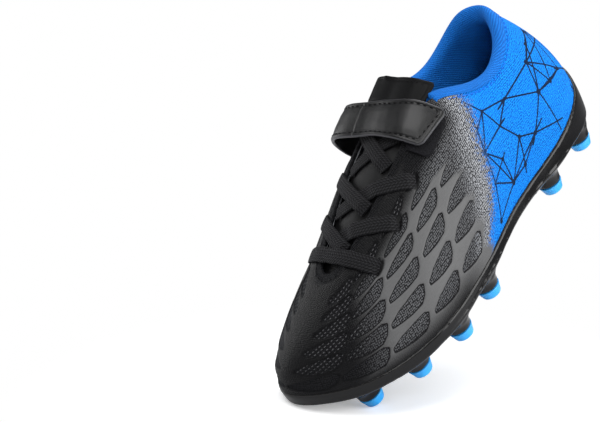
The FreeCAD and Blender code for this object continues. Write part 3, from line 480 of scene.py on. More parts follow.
def set_co(ob, v):
    ob.data.vertices.foreach_set("co", to_frame(v).astype(np.float32).ravel())
    ob.data.update()


def get_no(ob):
    n = np.zeros(len(ob.data.vertices) * 3, np.float32)
    ob.data.vertices.foreach_get("normal", n)
    return n.reshape(-1, 3).astype(float)


def bake(ob):
    """Replace the mesh by its modified form."""
    bpy.context.view_layer.update()
    dg = bpy.context.evaluated_depsgraph_get()
    dg.update()
    me = bpy.data.meshes.new_from_object(ob.evaluated_get(dg),
                                         preserve_all_data_layers=True, depsgraph=dg)
    old = ob.data
    ob.modifiers.clear()
    ob.data = me
    bpy.data.meshes.remove(old)
    return ob


def subdivide(ob, levels=1):
    m = ob.modifiers.new("subdivide", "SUBSURF")
    m.levels = m.render_levels = levels
    return bake(ob)


def puff(ob, pins, pressure=4.0, cap=1.5, frames=20, shrink=0.0, stiff=15.0):
    """Blow a closed padded form up a little as cloth, held at its seams."""
    rest = get_co(ob)
    g = ob.vertex_groups.new(name="held")
    for w in np.unique(np.round(pins, 2)):
        idx = np.nonzero(np.abs(np.round(pins, 2) - w) < 1e-6)[0]
        if w > 0:
            g.add([int(i) for i in idx], float(w), "REPLACE")
    m = ob.modifiers.new("cloth", "CLOTH")
    c = m.settings
    c.quality = 5
    c.mass = 0.15
    c.tension_stiffness = c.compression_stiffness = stiff
    c.shear_stiffness = stiff * 0.6
    c.bending_stiffness = 0.5
    c.use_pressure = True
    c.uniform_pressure_force = pressure
    c.vertex_group_mass = "held"
    c.pin_stiffness = 1.0
    c.shrink_min = shrink
    c.effector_weights.gravity = 0
    m.collision_settings.use_collision = False
    m.collision_settings.use_self_collision = False
    m.point_cache.frame_start, m.point_cache.frame_end = 1, frames
    sc = bpy.context.scene
    for f in range(1, frames + 1):
        sc.frame_set(f)
    dg = bpy.context.evaluated_depsgraph_get()
    me = bpy.data.meshes.new_from_object(ob.evaluated_get(dg), depsgraph=dg)
    v = np.zeros(len(me.vertices) * 3, np.float32)
    me.vertices.foreach_get("co", v)
    v = v.reshape(-1, 3).astype(float) * 1000.0 - SHIFT
    bpy.data.meshes.remove(me)
    ob.modifiers.clear()
    d = v - rest
    n = np.linalg.norm(d, axis=1, keepdims=True)
    d = np.where(np.isfinite(d), d, 0.0) * np.minimum(1.0, cap / np.maximum(n, 1e-9))
    d *= (1 - np.asarray(pins))[:, None]
    set_co(ob, rest + d)
    sc.frame_set(1)


def rows_length(p):
    """Running length along axis 0 of points (n, ..., 3)."""
    d = np.linalg.norm(np.diff(p, axis=0), axis=-1)
    return np.concatenate([np.zeros((1,) + d.shape[1:]), np.cumsum(d, 0)])


def stitches(b, path, normal, length=2.3, gap=1.0, r=0.28, lift=0.12, slot=0,
             start=0.5, **extra):
    """Row of short threads laid along path (n, 3) with surface normals."""
    path, normal = np.asarray(path, float), unit(normal)
    run = rows_length(path)
    at = start
    while at + length < run[-1]:
        k = np.linspace(at, at + length, 6)
        p = np.stack([np.interp(k, run, path[:, i]) for i in range(3)], -1)
        n = unit(np.stack([np.interp(k, run, normal[:, i]) for i in range(3)], -1))
        t = unit(np.gradient(p, axis=0))
        side = unit(np.cross(t, n))
        prof = np.array([0.25, 0.85, 1.0, 1.0, 0.85, 0.25])
        sink = np.array([-0.28, -0.02, 0.0, 0.0, -0.02, -0.28])
        c = p + n * col(lift + sink)
        a = np.arange(6) * math.pi / 3
        ringv = (c[:, None] + side[:, None] * (np.cos(a)[None, :, None] * r * prof[:, None, None])
                 + n[:, None] * (np.sin(a)[None, :, None] * r * prof[:, None, None]))
        b.tube(ringv, slot, kuv=np.zeros((36, 3)), **{
            k_: np.full(36, v_) for k_, v_ in extra.items()})
        at += length + gap


# =============================================================== materials
def srgb(r, g, b):
    out = []
    for c in (r, g, b):
        c = c / 255.0
        out.append(c / 12.92 if c <= 0.04045 else ((c + 0.055) / 1.055) ** 2.4)
    return (out[0], out[1], out[2], 1.0)


class Mat:
    """Small wrapper that builds a node tree."""

    def __init__(self, name):
        self.m = bpy.data.materials.new(name)
        self.m.use_nodes = True
        self.t = self.m.node_tree
        self.t.nodes.clear()
        self.out = self.t.nodes.new("ShaderNodeOutputMaterial")
        self.p = self.t.nodes.new("ShaderNodeBsdfPrincipled")
        self.t.links.new(self.p.outputs[0], self.out.inputs[0])
        self.nor = None

    def node(self, kind, **props):
        n = self.t.nodes.new(kind)
        for k, v in props.items():
            setattr(n, k, v)
        return n

    def put(self, sock, val):
        if isinstance(val, bpy.types.NodeSocket):
            self.t.links.new(val, sock)
        elif val is not None:
            if hasattr(sock.default_value, "__len__") and not hasattr(val, "__len__"):
                val = [val] * len(sock.default_value)
            elif hasattr(sock.default_value, "__len__"):
                val = list(val)[:len(sock.default_value)]
            sock.default_value = val

    def f(self, op, a=0.0, b=None, c=None, clamp=False):
        n = self.node("ShaderNodeMath", operation=op, use_clamp=clamp)
        for i, v in enumerate((a, b, c)):
            if v is not None:
                self.put(n.inputs[i], v)
        return n.outputs[0]

    def add(self, a, b):
        return self.f("ADD", a, b)

    def mul(self, a, b):
        return self.f("MULTIPLY", a, b)

    def sub(self, a, b):
        return self.f("SUBTRACT", a, b)

    def step(self, lo, hi, v):
        n = self.node("ShaderNodeMapRange", interpolation_type="SMOOTHSTEP")
        self.put(n.inputs[0], v)
        n.inputs[1].default_value, n.inputs[2].default_value = min(lo, hi), max(lo, hi)
        n.inputs[3].default_value, n.inputs[4].default_value = (0, 1) if lo < hi else (1, 0)
        return n.outputs[0]

    def mix(self, fac, a, b):
        n = self.node("ShaderNodeMix", data_type="RGBA")
        self.put(n.inputs[0], fac)
        self.put(n.inputs[6], a)
        self.put(n.inputs[7], b)
        return n.outputs[2]

    def mixf(self, fac, a, b):
        n = self.node("ShaderNodeMix", data_type="FLOAT")
        self.put(n.inputs[0], fac)
        self.put(n.inputs[2], a)
        self.put(n.inputs[3], b)
        return n.outputs[0]

    def attr(self, name, kind="Fac"):
        n = self.node("ShaderNodeAttribute", attribute_name=name)
        return n.outputs[kind]

    def obj_mm(self):
        n = self.node("ShaderNodeTexCoord")
        v = self.node("ShaderNodeVectorMath", operation="SCALE")
        self.put(v.inputs[0], n.outputs["Object"])
        v.inputs["Scale"].default_value = 1000.0
        return v.outputs[0]

    def scale(self, vec, s):
        v = self.node("ShaderNodeVectorMath", operation="MULTIPLY")
        self.put(v.inputs[0], vec)
        v.inputs[1].default_value = (s, s, s) if not hasattr(s, "__len__") else s
        return v.outputs[0]

    def vadd(self, a, b):
        v = self.node("ShaderNodeVectorMath", operation="ADD")
        self.put(v.inputs[0], a)
        self.put(v.inputs[1], b)
        return v.outputs[0]

    def xyz(self, vec):
        n = self.node("ShaderNodeSeparateXYZ")
        self.put(n.inputs[0], vec)
        return n.outputs[0], n.outputs[1], n.outputs[2]

    def comb(self, x, y, z=0.0):
        n = self.node("ShaderNodeCombineXYZ")
        for i, v in enumerate((x, y, z)):
            self.put(n.inputs[i], v)
        return n.outputs[0]

    def noise(self, vec, scale, detail=2.0, rough=0.5, out=0):
        n = self.node("ShaderNodeTexNoise")
        self.put(n.inputs["Vector"], vec)
        n.inputs["Scale"].default_value = scale
        n.inputs["Detail"].default_value = detail
        n.inputs["Roughness"].default_value = rough
        return n.outputs[out]

    def voronoi(self, vec, scale, feature="F1", out="Distance", rand=1.0, dims="3D"):
        n = self.node("ShaderNodeTexVoronoi", feature=feature, voronoi_dimensions=dims)
        self.put(n.inputs["Vector"], vec)
        n.inputs["Scale"].default_value = scale
        n.inputs["Randomness"].default_value = rand
        return n.outputs[out]

    def white(self, vec):
        n = self.node("ShaderNodeTexWhiteNoise", noise_dimensions="3D")
        self.put(n.inputs["Vector"], vec)
        return n.outputs["Value"]

    def wave(self, x, period):
        return self.f("SINE", self.mul(x, 2 * math.pi / period))

    def bump(self, height, dist_mm, strength=1.0):
        n = self.node("ShaderNodeBump")
        self.put(n.inputs["Height"], height)
        n.inputs["Distance"].default_value = dist_mm / 1000.0
        self.put(n.inputs["Strength"], strength)
        if self.nor is not None:
            self.put(n.inputs["Normal"], self.nor)
        self.nor = n.outputs[0]

    def done(self, color, rough, spec=0.5, sheen=None, coat=None, sss=None, metal=0.0):
        self.put(self.p.inputs["Base Color"], color)
        self.put(self.p.inputs["Roughness"], rough)
        self.put(self.p.inputs["Specular IOR Level"], spec)
        self.put(self.p.inputs["Metallic"], metal)
        if self.nor is not None:
            self.put(self.p.inputs["Normal"], self.nor)
        if sheen:
            self.put(self.p.inputs["Sheen Weight"], sheen[0])
            self.put(self.p.inputs["Sheen Roughness"], sheen[1])
            self.put(self.p.inputs["Sheen Tint"], sheen[2])
        if coat:
            self.put(self.p.inputs["Coat Weight"], coat[0])
            self.put(self.p.inputs["Coat Roughness"], coat[1])
        if sss:
            self.put(self.p.inputs["Subsurface Weight"], sss[0])
            self.put(self.p.inputs["Subsurface Radius"], sss[1])
            self.p.inputs["Subsurface Scale"].default_value = 0.001
        return self.m


def loops(m, uv, p):
    """Knitted loops in millimetre coordinates: height 0..1."""
    u, v, _ = m.xyz(uv)
    a = m.wave(m.add(u, m.mul(v, 0.62)), p)
    b = m.wave(m.sub(u, m.mul(v, 0.62)), p)
    return m.add(m.mul(m.mul(a, b), 0.5), 0.5)


def upper_material():
    m = Mat("upper_knit")
    uv = m.attr("kuv", "Vector")
    jit = m.noise(uv, 0.35, 2, 0.5, 1)
    uvj = m.vadd(uv, m.scale(m.vadd(jit, (-.5, -.5, -.5)), 0.9))
    tone, dark = m.attr("tone"), m.attr("dark")
    film, lat = m.attr("film"), m.attr("lat")
    net, dot = m.attr("net"), m.attr("dot")
    knit = loops(m, uvj, 1.35)
    cell = m.voronoi(uvj, 1.02, out="Color", rand=0.45, dims="2D")
    rnd, rnd2, _ = m.xyz(cell)
    thread = m.voronoi(uvj, 1.02, rand=0.45, dims="2D")
    dots = m.step(0.56, 0.16, thread)
    big = m.noise(uv, 0.05, 3, 0.6)
    # blue to grey, loop by loop
    ramp = m.step(-12.0, 12.0, m.add(tone, m.mul(m.sub(big, 0.5), 6.0)))
    pick = m.step(-0.30, 0.30, m.sub(ramp, m.add(m.mul(rnd, 0.40), 0.30)))
    weave = m.add(m.mul(dots, 0.55), m.mul(knit, 0.45))
    blue = m.mix(m.step(0.1, 0.8, weave), srgb(0, 78, 168), srgb(16, 150, 252))
    blue = m.mix(m.mul(m.step(0.35, 0.75, big), 0.35), blue, srgb(8, 128, 240))
    # grey yarn mixed with black yarn
    pale = m.mul(m.step(24.0, 7.0, tone), m.step(-9.0, 8.0, tone))
    grey = m.mix(pale, srgb(100, 101, 103), srgb(168, 170, 174))
    yarn = m.step(0.22, 0.72, m.add(m.mul(rnd2, 0.25), m.mul(dots, 0.75)))
    greyk = m.mix(m.mul(m.sub(1.0, yarn), 0.92), grey, srgb(14, 14, 16))
    blackk = m.mix(m.mul(dots, 0.8), srgb(5, 5, 6), srgb(34, 34, 36))
    greyk = m.mix(dark, greyk, blackk)
    knitc = m.mix(pick, blue, greyk)
    # pressed film lattice
    streak = m.noise(m.scale(uv, (0.25, 2.6, 1)), 1.2, 3, 0.6)
    filmc = m.mix(m.mul(streak, 0.6), srgb(80, 80, 80), srgb(108, 108, 109))
    filmd = m.mix(streak, srgb(6, 6, 7), srgb(14, 14, 16))
    filmc = m.mix(dark, filmc, filmd)
    onfilm = m.mul(film, m.step(-0.15, 0.25, lat))
    color = m.mix(onfilm, knitc, filmc)
    # cells: painted shade darkens the recessed cells between the film bars; dashed float threads where
    # the boot turns black
    incell = m.mul(film, m.step(0.1, -0.3, lat))
    shade = m.mul(incell, 0.10)
    color = m.mix(shade, color, srgb(24, 24, 25))
    u, v, _ = m.xyz(uv)
    dash = m.mul(m.step(0.55, 0.9, m.wave(m.add(v, m.mul(u, 0.42)), 1.7)),
                 m.step(-0.1, 0.4, m.wave(m.sub(u, m.mul(v, 0.3)), 2.3)))
    dashes = m.mul(m.mul(dash, m.attr("dash")), incell)
    color = m.mix(m.mul(dashes, 0.6), color, srgb(112, 112, 114))
    # painted shade: dark line in the gap along the film's raised border
    edge = m.mul(film, m.mul(m.step(-0.6, -0.3, lat), m.step(0.2, 0.02, lat)))
    color = m.mix(m.mul(edge, 0.85), color, srgb(9, 9, 10))
    # printed network on the heel
    lw = m.add(0.36, m.mul(m.noise(uv, 0.5, 1), 0.12))
    line = m.f("MAXIMUM", m.step(0.12, -0.12, m.sub(net, lw)),
               m.step(0.15, -0.15, dot))
    line = m.mul(line, m.sub(1.0, m.mul(pick, 0.75)))
    color = m.mix(m.mul(line, 0.94), color, srgb(12, 14, 18))
    # painted shade: the lace slots are painted near black in place of an opening
    color = m.mix(m.attr("hole"), color, srgb(6, 6, 7))
    color = m.mix(m.attr("inside"), color, srgb(16, 17, 20))
    fine = m.noise(uv, 6.0, 2)
    notfilm = m.sub(1.0, onfilm)
    m.bump(m.mul(m.add(m.mul(knit, 0.7), m.mul(thread, -0.5)), notfilm), 0.42, 0.9)
    m.bump(m.mul(thread, m.mul(onfilm, m.add(m.mul(dark, -0.75), -0.25))), 0.30, 0.8)
    m.bump(m.add(fine, m.mul(streak, 0.6)), 0.05, 0.6)
    rough = m.mixf(onfilm, 0.66, m.mixf(streak, 0.42, 0.54))
    rough = m.mixf(m.mul(dark, onfilm), rough, 0.42)
    spec = m.mixf(onfilm, 0.10, m.mixf(dark, 0.26, 0.14))
    return m.done(color, rough, spec, sheen=(m.mul(notfilm, 0.02), 0.5, srgb(200, 215, 240)))


def tpu_material():
    m = Mat("outsole_tpu")
    o = m.obj_mm()
    matte = m.attr("matte")
    pit = m.attr("pit")
    wide = m.noise(o, 0.03, 3)
    fine = m.noise(o, 2.2, 3)
    smear = m.noise(m.scale(o, (0.2, 0.9, 0.9)), 0.12, 4, 0.6)
    color = m.mix(matte, srgb(9, 9, 10), m.mix(wide, srgb(34, 34, 36), srgb(44, 44, 46)))
    # painted highlight: lighter warm tone along the upward-facing rim edge
    color = m.mix(m.mul(m.attr("edge"), 0.25), color, srgb(62, 58, 54))
    # painted shade: the pressed hollows, heel bars and groove are painted near black
    color = m.mix(pit, color, srgb(7, 7, 8))
    rough = m.mixf(matte, m.mixf(m.step(0.4, 0.7, smear), 0.13, 0.24),
                   m.mixf(wide, 0.42, 0.55))
    m.bump(fine, 0.03, m.mixf(matte, 0.15, 0.7))
    m.bump(m.noise(o, 0.25, 2), 0.12, 0.35)
    return m.done(color, rough, 0.36)


def tip_material():
    m = Mat("tip_tpu")
    uv = m.attr("kuv", "Vector")
    wide = m.noise(uv, 0.15, 2)
    wear = m.attr("wear")
    color = m.mix(wide, srgb(30, 158, 250), srgb(58, 186, 255))
    color = m.mix(m.mul(wear, 0.35), color, srgb(132, 206, 255))
    m.bump(m.noise(uv, 1.6, 3), 0.05, 0.5)
    return m.done(color, m.mixf(wide, 0.28, 0.4), 0.5, sss=(0.12, (0.4, 0.8, 1.2)))


def cloth_material(name, lo, hi, period, rough=0.8, bump=0.3, twill=True, sheen=0.3,
                   use_uv=True, tint=(200, 210, 230), deep=None):
    m = Mat(name)
    uv = m.attr("kuv", "Vector") if use_uv else m.obj_mm()
    jit = m.noise(uv, 0.3, 2, 0.5, 1)
    uvj = m.vadd(uv, m.scale(m.vadd(jit, (-.5, -.5, -.5)), 0.5))
    u, v, w = m.xyz(uvj)
    if not use_uv:
        u, v = m.add(u, m.mul(w, 0.7)), m.add(v, m.mul(w, 0.7))
    if twill:
        a = m.wave(m.add(u, v), period)
        b = m.wave(m.sub(m.mul(u, 0.5), v), period * 0.75)
        h = m.add(m.mul(m.mul(a, 0.7), 0.5), m.add(m.mul(m.mul(a, b), 0.3), 0.5))
    else:
        a, b = m.wave(u, period), m.wave(v, period)
        h = m.add(m.mul(m.mul(a, b), 0.5), 0.5)
    big = m.noise(uv, 0.06, 3)
    color = m.mix(h, srgb(*lo), srgb(*hi))
    color = m.mix(m.mul(big, 0.3), color, srgb(*[c * 0.7 for c in hi]))
    # painted shade deep inside the boot
    if deep:
        color = m.mix(m.mul(m.attr("deep"), 0.92), color, srgb(*deep))
    m.bump(h, bump, 0.9)
    m.bump(m.noise(uv, 4.0, 2), 0.06, 0.5)
    return m.done(color, rough, 0.18, sheen=(sheen, 0.5, srgb(*tint)))


def leather_material(name, base, edge_highlight_rgb, grain=0.9, rough=0.36, spec=0.3):
    m = Mat(name)
    uv = m.attr("kuv", "Vector")
    cells = m.voronoi(uv, 1.0 / grain, "DISTANCE_TO_EDGE", "Distance", 1.0, "2D")
    big = m.noise(uv, 0.08, 3)
    crease = m.noise(m.scale(uv, (0.7, 0.5, 1)), 0.30, 4, 0.6)
    color = m.mix(big, srgb(*base), srgb(*[c * 1.35 for c in base]))
    # painted highlight along the rounded edges
    color = m.mix(m.mul(m.attr("edge"), 0.7), color, srgb(*edge_highlight_rgb))
    # painted highlight along the creases
    color = m.mix(m.mul(m.step(0.55, 0.8, crease), 0.12), color, srgb(*[c * 1.6 for c in base]))
    m.bump(m.step(0.0, 0.22, cells), 0.05, 0.5)
    m.bump(crease, 0.14, 0.4)
    m.bump(m.noise(uv, 5.0, 2), 0.02, 0.5)
    return m.done(color, m.mixf(big, rough - 0.06, rough + 0.08), spec)


def thread_material(name, c):
    m = Mat(name)
    o = m.obj_mm()
    n = m.noise(o, 3.0, 3)
    m.bump(m.wave(m.add(*m.xyz(o)[:2]), 0.5), 0.06, 0.7)
    return m.done(m.mix(n, srgb(*[x * 0.8 for x in c]), srgb(*[min(255, x * 1.3) for x in c])),
                  0.6, 0.14)


def lace_material():
    m = Mat("lace_elastic")
    uv = m.attr("kuv", "Vector")
    jit = m.noise(uv, 0.5, 2, 0.5, 1)
    uvj = m.vadd(uv, m.scale(m.vadd(jit, (-.5, -.5, -.5)), 0.35))
    u, v, _ = m.xyz(uvj)
    # braid of yarns crossing at an angle, ribs along the length
    a = m.wave(m.add(u, m.mul(m.f("ABSOLUTE", v), 0.9)), 1.55)
    b = m.wave(v, 1.3)
    h = m.add(m.mul(m.mul(a, 0.6), 0.5), m.add(m.mul(b, 0.30), 0.5))
    gap = m.f("ABSOLUTE", m.mul(a, b))
    color = m.mix(m.step(0.35, 0.95, h), srgb(3, 3, 4), srgb(36, 36, 38))
    color = m.mix(m.mul(m.step(0.55, 0.95, gap), 0.35), color, srgb(56, 56, 59))
    m.bump(h, 0.4, 0.9)
    m.bump(m.noise(uv, 5.0, 2), 0.08, 0.6)
    return m.done(color, 0.72, 0.16, sheen=(0.04, 0.5, srgb(190, 190, 200)))


def tape_material(name, lo, hi, scale, bump):
    m = Mat(name)
    uv = m.attr("kuv", "Vector")
    c = m.voronoi(uv, scale, "F1", "Distance", 0.8)
    n = m.noise(uv, 1.5, 4, 0.7)
    m.bump(m.add(c, n), bump, 1.0)
    return m.done(m.mix(m.mul(m.add(c, n), 0.6), srgb(*lo), srgb(*hi)), 0.9, 0.12,
                  sheen=(0.04, 0.6, srgb(180, 180, 190)))


def hidden_material(name, lo, hi, kind):
    """For layers inside the boot, in object coordinates."""
    m = Mat(name)
    o = m.obj_mm()
    if kind == "foam":
        c = m.voronoi(o, 0.9, "F1", "Distance", 1.0)
        h = m.step(0.1, 0.7, c)
        dist = 0.3
    elif kind == "board":
        h = m.noise(m.scale(o, (0.4, 1.6, 1.0)), 1.4, 5, 0.7)
        dist = 0.08
    else:
        u, v, w = m.xyz(o)
        h = m.add(m.mul(m.mul(m.wave(m.add(u, w), 0.9), m.wave(m.add(v, w), 0.9)), 0.5), 0.5)
        dist = 0.12
    big = m.noise(o, 0.08, 3)
    color = m.mix(h, srgb(*lo), srgb(*hi))
    color = m.mix(m.mul(big, 0.3), color, srgb(*[x * 0.75 for x in hi]))
    m.bump(h, dist, 0.8)
    return m.done(color, 0.8, 0.25)


MAT_UPPER = upper_material()
MAT_TPU = tpu_material()
MAT_TIP = tip_material()
MAT_COLLAR = cloth_material("collar_mesh", (4, 78, 172), (22, 132, 230), 1.5,
                            0.78, 0.42, True, 0.05, tint=(120, 170, 255), deep=(5, 12, 26))
MAT_INNER = cloth_material("inner_mesh", (8, 14, 30), (20, 40, 86), 1.15, 0.85, 0.3,
                           True, 0.15)
# the second colour of each leather is its painted edge highlight
MAT_TONGUE = leather_material("tongue_cloth", (14, 14, 15), (26, 26, 28), 0.5, 0.5, 0.2)
MAT_PATCH = leather_material("tongue_patch", (5, 5, 6), (26, 26, 28), 0.7, 0.44, 0.10)
MAT_STRAP = leather_material("strap_leather", (7, 7, 8), (92, 92, 96), 0.8, 0.30, 0.36)
MAT_THREAD = thread_material("thread_black", (12, 12, 13))
MAT_THREAD_S = thread_material("thread_strap", (4, 4, 5))
MAT_THREAD_B = thread_material("thread_blue", (30, 96, 200))
MAT_LACE = lace_material()
MAT_HOOK = tape_material("hook_tape", (8, 8, 9), (44, 44, 47), 1.1, 0.5)
MAT_LOOP = tape_material("loop_tape", (7, 7, 8), (30, 30, 33), 1.6, 0.4)
MAT_SOCK = cloth_material("sock_cloth", (14, 14, 16), (44, 46, 52), 1.3, 0.85, 0.25, False)
MAT_BIND = cloth_material("edge_binding", (12, 12, 13), (40, 40, 43), 0.8, 0.7, 0.15, False)
MAT_FOAM = hidden_material("foam", (150, 150, 146), (196, 196, 190), "foam")
MAT_BOARD = hidden_material("board", (120, 104, 84), (168, 150, 126), "board")
MAT_STIFF = hidden_material("stiffener", (150, 152, 156), (186, 188, 192), "board")
MAT_LINING = hidden_material("vamp_lining", (18, 18, 20), (48, 48, 52), "weave")


# =============================================================== upper
NS, NT = 900, 126
LACE_SLOTS = [(10.4, 53.0, 3.0), (32.0, 53.0, 18.0), (52.5, 52.0, 20.0),
              (7.4, -48.0, 3.0), (26.0, -45.0, -16.0), (47.5, -44.0, -18.0)]
CELL = np.array([(-8.9, -1.6), (-8.5, 1.9), (-6.6, 3.7), (-1.0, 3.5), (4.5, 2.5),
                 (9.0, 1.3), (9.3, 0.1), (5.5, -1.9), (-1.0, -2.9), (-6.4, -3.0)])
rowspl = Spline([.04, .22, .38, .52, .64, .74, .83, .91], [3, 2, 1, 0, -1, -2, -3, -4])
tone_s = Spline([0, .08, .2, .35, .5, .65, .8, 1.0],
                [6.5, 6.3, 5.85, 5.42, 5.22, 5.05, 4.78, 4.62])


def sd_poly(x, y, poly):
    d = np.full(x.shape, 1e9)
    sign = np.ones(x.shape)
    n = len(poly)
    for i in range(n):
        ax, ay = poly[i]
        bx, by = poly[(i - 1) % n]
        ex, ey = bx - ax, by - ay
        wx, wy = x - ax, y - ay
        k = np.clip((wx * ex + wy * ey) / (ex * ex + ey * ey), 0, 1)
        d = np.minimum(d, (wx - ex * k) ** 2 + (wy - ey * k) ** 2)
        c1, c2, c3 = y >= ay, y < by, ex * wy > ey * wx
        flip = (c1 & c2 & c3) | (~c1 & ~c2 & ~c3)
        sign = np.where(flip, -sign, sign)
    return sign * np.sqrt(d)


def network(p, n, rng):
    """Distances to a made-up web of straight lines and its knots (mm)."""
    net, dot = np.full(len(p), 50.0), np.full(len(p), 50.0)
    for side in (1, -1):
        pts = []
        tries = 0
        while len(pts) < 26 and tries < 6000:
            tries += 1
            sp = rng.uniform(0.15, 6.0)
            t = rng.uniform(0.07, 0.9)
            if sp > float(tone_s(t)) + 0.15:
                continue
            s = sp if side > 0 else 22.0 - sp
            q = wall(s, t)
            if all(np.linalg.norm(q - o[0]) > 10.0 for o in pts):
                pts.append((q, wall_n(s, t), rng.uniform(0.6, 1.45)))
        hubs = sorted(range(len(pts)), key=lambda i: -pts[i][2])[:5]
        pairs = set()
        for i in range(len(pts)):
            dist = sorted((np.linalg.norm(pts[i][0] - pts[j][0]), j)
                          for j in range(len(pts)) if j != i)
            for k, (d, j) in enumerate(dist[:7 if i in hubs else 2]):
                if d < (44 if i in hubs else 30):
                    pairs.add((min(i, j), max(i, j)))
        for i, j in sorted(pairs):
            a, b = pts[i][0], pts[j][0]
            m = unit(pts[i][1] + pts[j][1])
            e = b - a
            over = 1.0 + (0.3 if (i + j) % 3 == 0 else 0.0)
            w = unit(np.cross(e, m))
            x = p - a
            k = x @ e / (e @ e)
            lean = np.sqrt(np.clip(1 - (n @ w) ** 2, 0.2, 1))
            dd = np.abs(x @ w) / lean
            dd = dd + np.maximum(0, -k) * 60 + np.maximum(0, k - over) * 60
            dd = np.where(n @ m > 0.3, dd, 50.0)
            far = np.abs(x @ m) > 12
            net = np.minimum(net, np.where(far, 50.0, dd))
        for q, nn, r in pts:
            dot = np.minimum(dot, np.linalg.norm(p - q, axis=1) - r)
    return net, dot


def build_upper():
    s = np.arange(NS) * 22.0 / NS
    t = np.linspace(0, 1, NT)
    S, T = np.meshgrid(s, t, indexing="ij")
    P, N = wall(S, T), wall_n(S, T)
    seg = np.linalg.norm(np.roll(P, -1, 0) - P, axis=-1)
    C = np.vstack([np.zeros((1, NT)), np.cumsum(seg, 0)])       # (NS+1, NT)
    V = rows_length(P.transpose(1, 0, 2)).T
    lat_side = S <= 11.0
    i55, i165 = NS * 55 // 220, NS * 165 // 220
    Uc = np.where(lat_side, C[:NS] - C[i55], C[i165] - C[:NS])
    sp = np.where(lat_side, S, 22.0 - S)
    jt = int(0.45 * (NT - 1))
    half = NS // 2
    us, ul = s[:half], C[:half, jt]
    tone = np.interp(sp, us, ul) - np.interp(tone_s(T), us, ul)
    # lattice of cells
    J = rowspl(T)
    I = (sp - 7.4 - 0.15 * J) / 0.95
    Ir, Jr = np.round(I), np.round(J)
    pu = np.linalg.norm(np.gradient(P, axis=0), axis=-1) * NS / 22.0 * 0.95
    pv = np.linalg.norm(np.gradient(P, axis=1), axis=-1) / np.maximum(
        np.abs(np.gradient(J, axis=1)), 1e-6)
    X, Y = (I - Ir) * 22.0, (J - Jr) * 10.5
    lat = sd_poly(X, Y, CELL) - 0.35
    grow = np.clip(np.minimum(pu / 22.0, pv / 10.5) * 1.05, 0.3, 1.1)
    toe_ = smooth(8.2, 9.6, sp + 0.5 * (T - .5)) * smooth(10.95, 10.3, sp)
    lat = (lat - 1.25 * toe_) * grow
    ok = (Jr <= 2) & (Jr >= -3) & (Ir <= 3)
    lat = np.where(ok, lat, 4.0)
    film = smooth(6.05, 6.4, sp - 0.95 * smooth(.62, .78, T) - .12 * np.sin(J * 6.3))
    film = film * smooth(.97, .93, T)
    dark = np.maximum.reduce([
        smooth(.72, .86, T + .02 * (sp - 6)) * smooth(5.1, 5.9, sp),
        smooth(8.75, 9.75, sp + 0.5 * (T - .5)),
        smooth(.25, .06, T) * smooth(6.4, 7.4, sp)])
    dash = smooth(.35, .8, dark) * smooth(.25, .45, T)
    edge_d = V[:, -1:] - V
    band = smooth(4.5, 4.1, edge_d) * smooth(5.4, 5.9, sp)
    slot = np.zeros_like(T)
    for q, f, lean in LACE_SLOTS:
        c = ibase(q, f)
        nn = inormal(q, f)
        along = unit(np.cross(nn, ibase(q, f + 1) - ibase(q, f - 1)))
        k = math.radians(lean)
        across = np.cross(nn, along)
        al = along * math.cos(k) + across * math.sin(k)
        ac = np.cross(nn, al)
        x = P - c
        e = np.sqrt((x @ al / 4.3) ** 2 + (x @ ac / 1.5) ** 2 + (x @ nn / 6) ** 2)
        slot = np.maximum(slot, smooth(1.15, 0.75, e))
    disp = film * 0.6 * smooth(-0.5, 0.4, lat) + band * 0.34 - slot * 0.75
    # faint waves of cloth over the foot
    disp += 0.16 * np.sin(P[..., 0] * 0.19 + P[..., 2] * 0.13) * smooth(5.6, 7, sp) \
        * smooth(.1, .3, T) * smooth(1, .85, T)
    net, dot = network(P.reshape(-1, 3), N.reshape(-1, 3), np.random.default_rng(41))
    outer = P + N * col(disp)
    # rolled top edge and the inside
    top, n1 = P[:, -1], N[:, -1]
    up = edge_dir(s)
    up = unit(up - n1 * col((up * n1).sum(-1)))
    rad = (disp[:, -1] + 1.25) / 2
    mid = top + n1 * col((disp[:, -1] - 1.25) / 2)
    roll = np.stack([mid + n1 * col(rad * math.cos(a)) + up * col(rad * math.sin(a) * 0.9)
                     for a in (0.7, 1.2, 1.94, 2.44)], 1)
    ti = np.linspace(1, 0, 15)
    Si, Ti = np.meshgrid(s, ti, indexing="ij")
    inner = off(Si, Ti, -1.25)
    rings = np.concatenate([outer, roll, inner], 1)
    nk = rings.shape[1]

    def ext(a, fill=None):
        a = a.reshape(NS, NT)
        e = a[:, -1:] if fill is None else np.full((NS, 1), float(fill))
        return np.concatenate([a, np.repeat(e, nk - NT, 1)], 1).ravel()
    kuv = np.stack([ext(Uc), ext(V), np.zeros(NS * nk)], -1)
    b = Builder()
    inside = np.concatenate([np.zeros((NS, NT + 2)), np.full((NS, nk - NT - 2), 1.0)], 1)
    # hole carries the painted shade of the lace slots
    b.tube(rings, 0, True, kuv=kuv, tone=ext(tone), lat=ext(lat), film=ext(film, 0),
           dark=ext(np.maximum(dark, band)), dash=ext(dash, 0), net=ext(net, 50), dot=ext(dot, 50),
           hole=ext(slot, 0), inside=inside.ravel())
    ob = b.make("upper", [MAT_UPPER])
    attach(ob, "shoe")
    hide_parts("upper_shell", "overlay_film_lateral", "overlay_film_medial")
    # stitching along the folded throat edge
    b = Builder()
    for inset in (3.3,):
        pick = (sp[:, 0] > 6.0)
        idx = np.nonzero(pick)[0]
        tt = np.array([np.interp(V[i, -1] - inset, V[i], t) for i in idx])
        ss = s[idx]
        stitches(b, off(ss, tt, 0.36), wall_n(ss, tt), 2.2, 1.0, 0.26)
    st = b.make("throat_stitching", [MAT_THREAD])
    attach(st, "shoe")
    return ob


upper = build_upper()


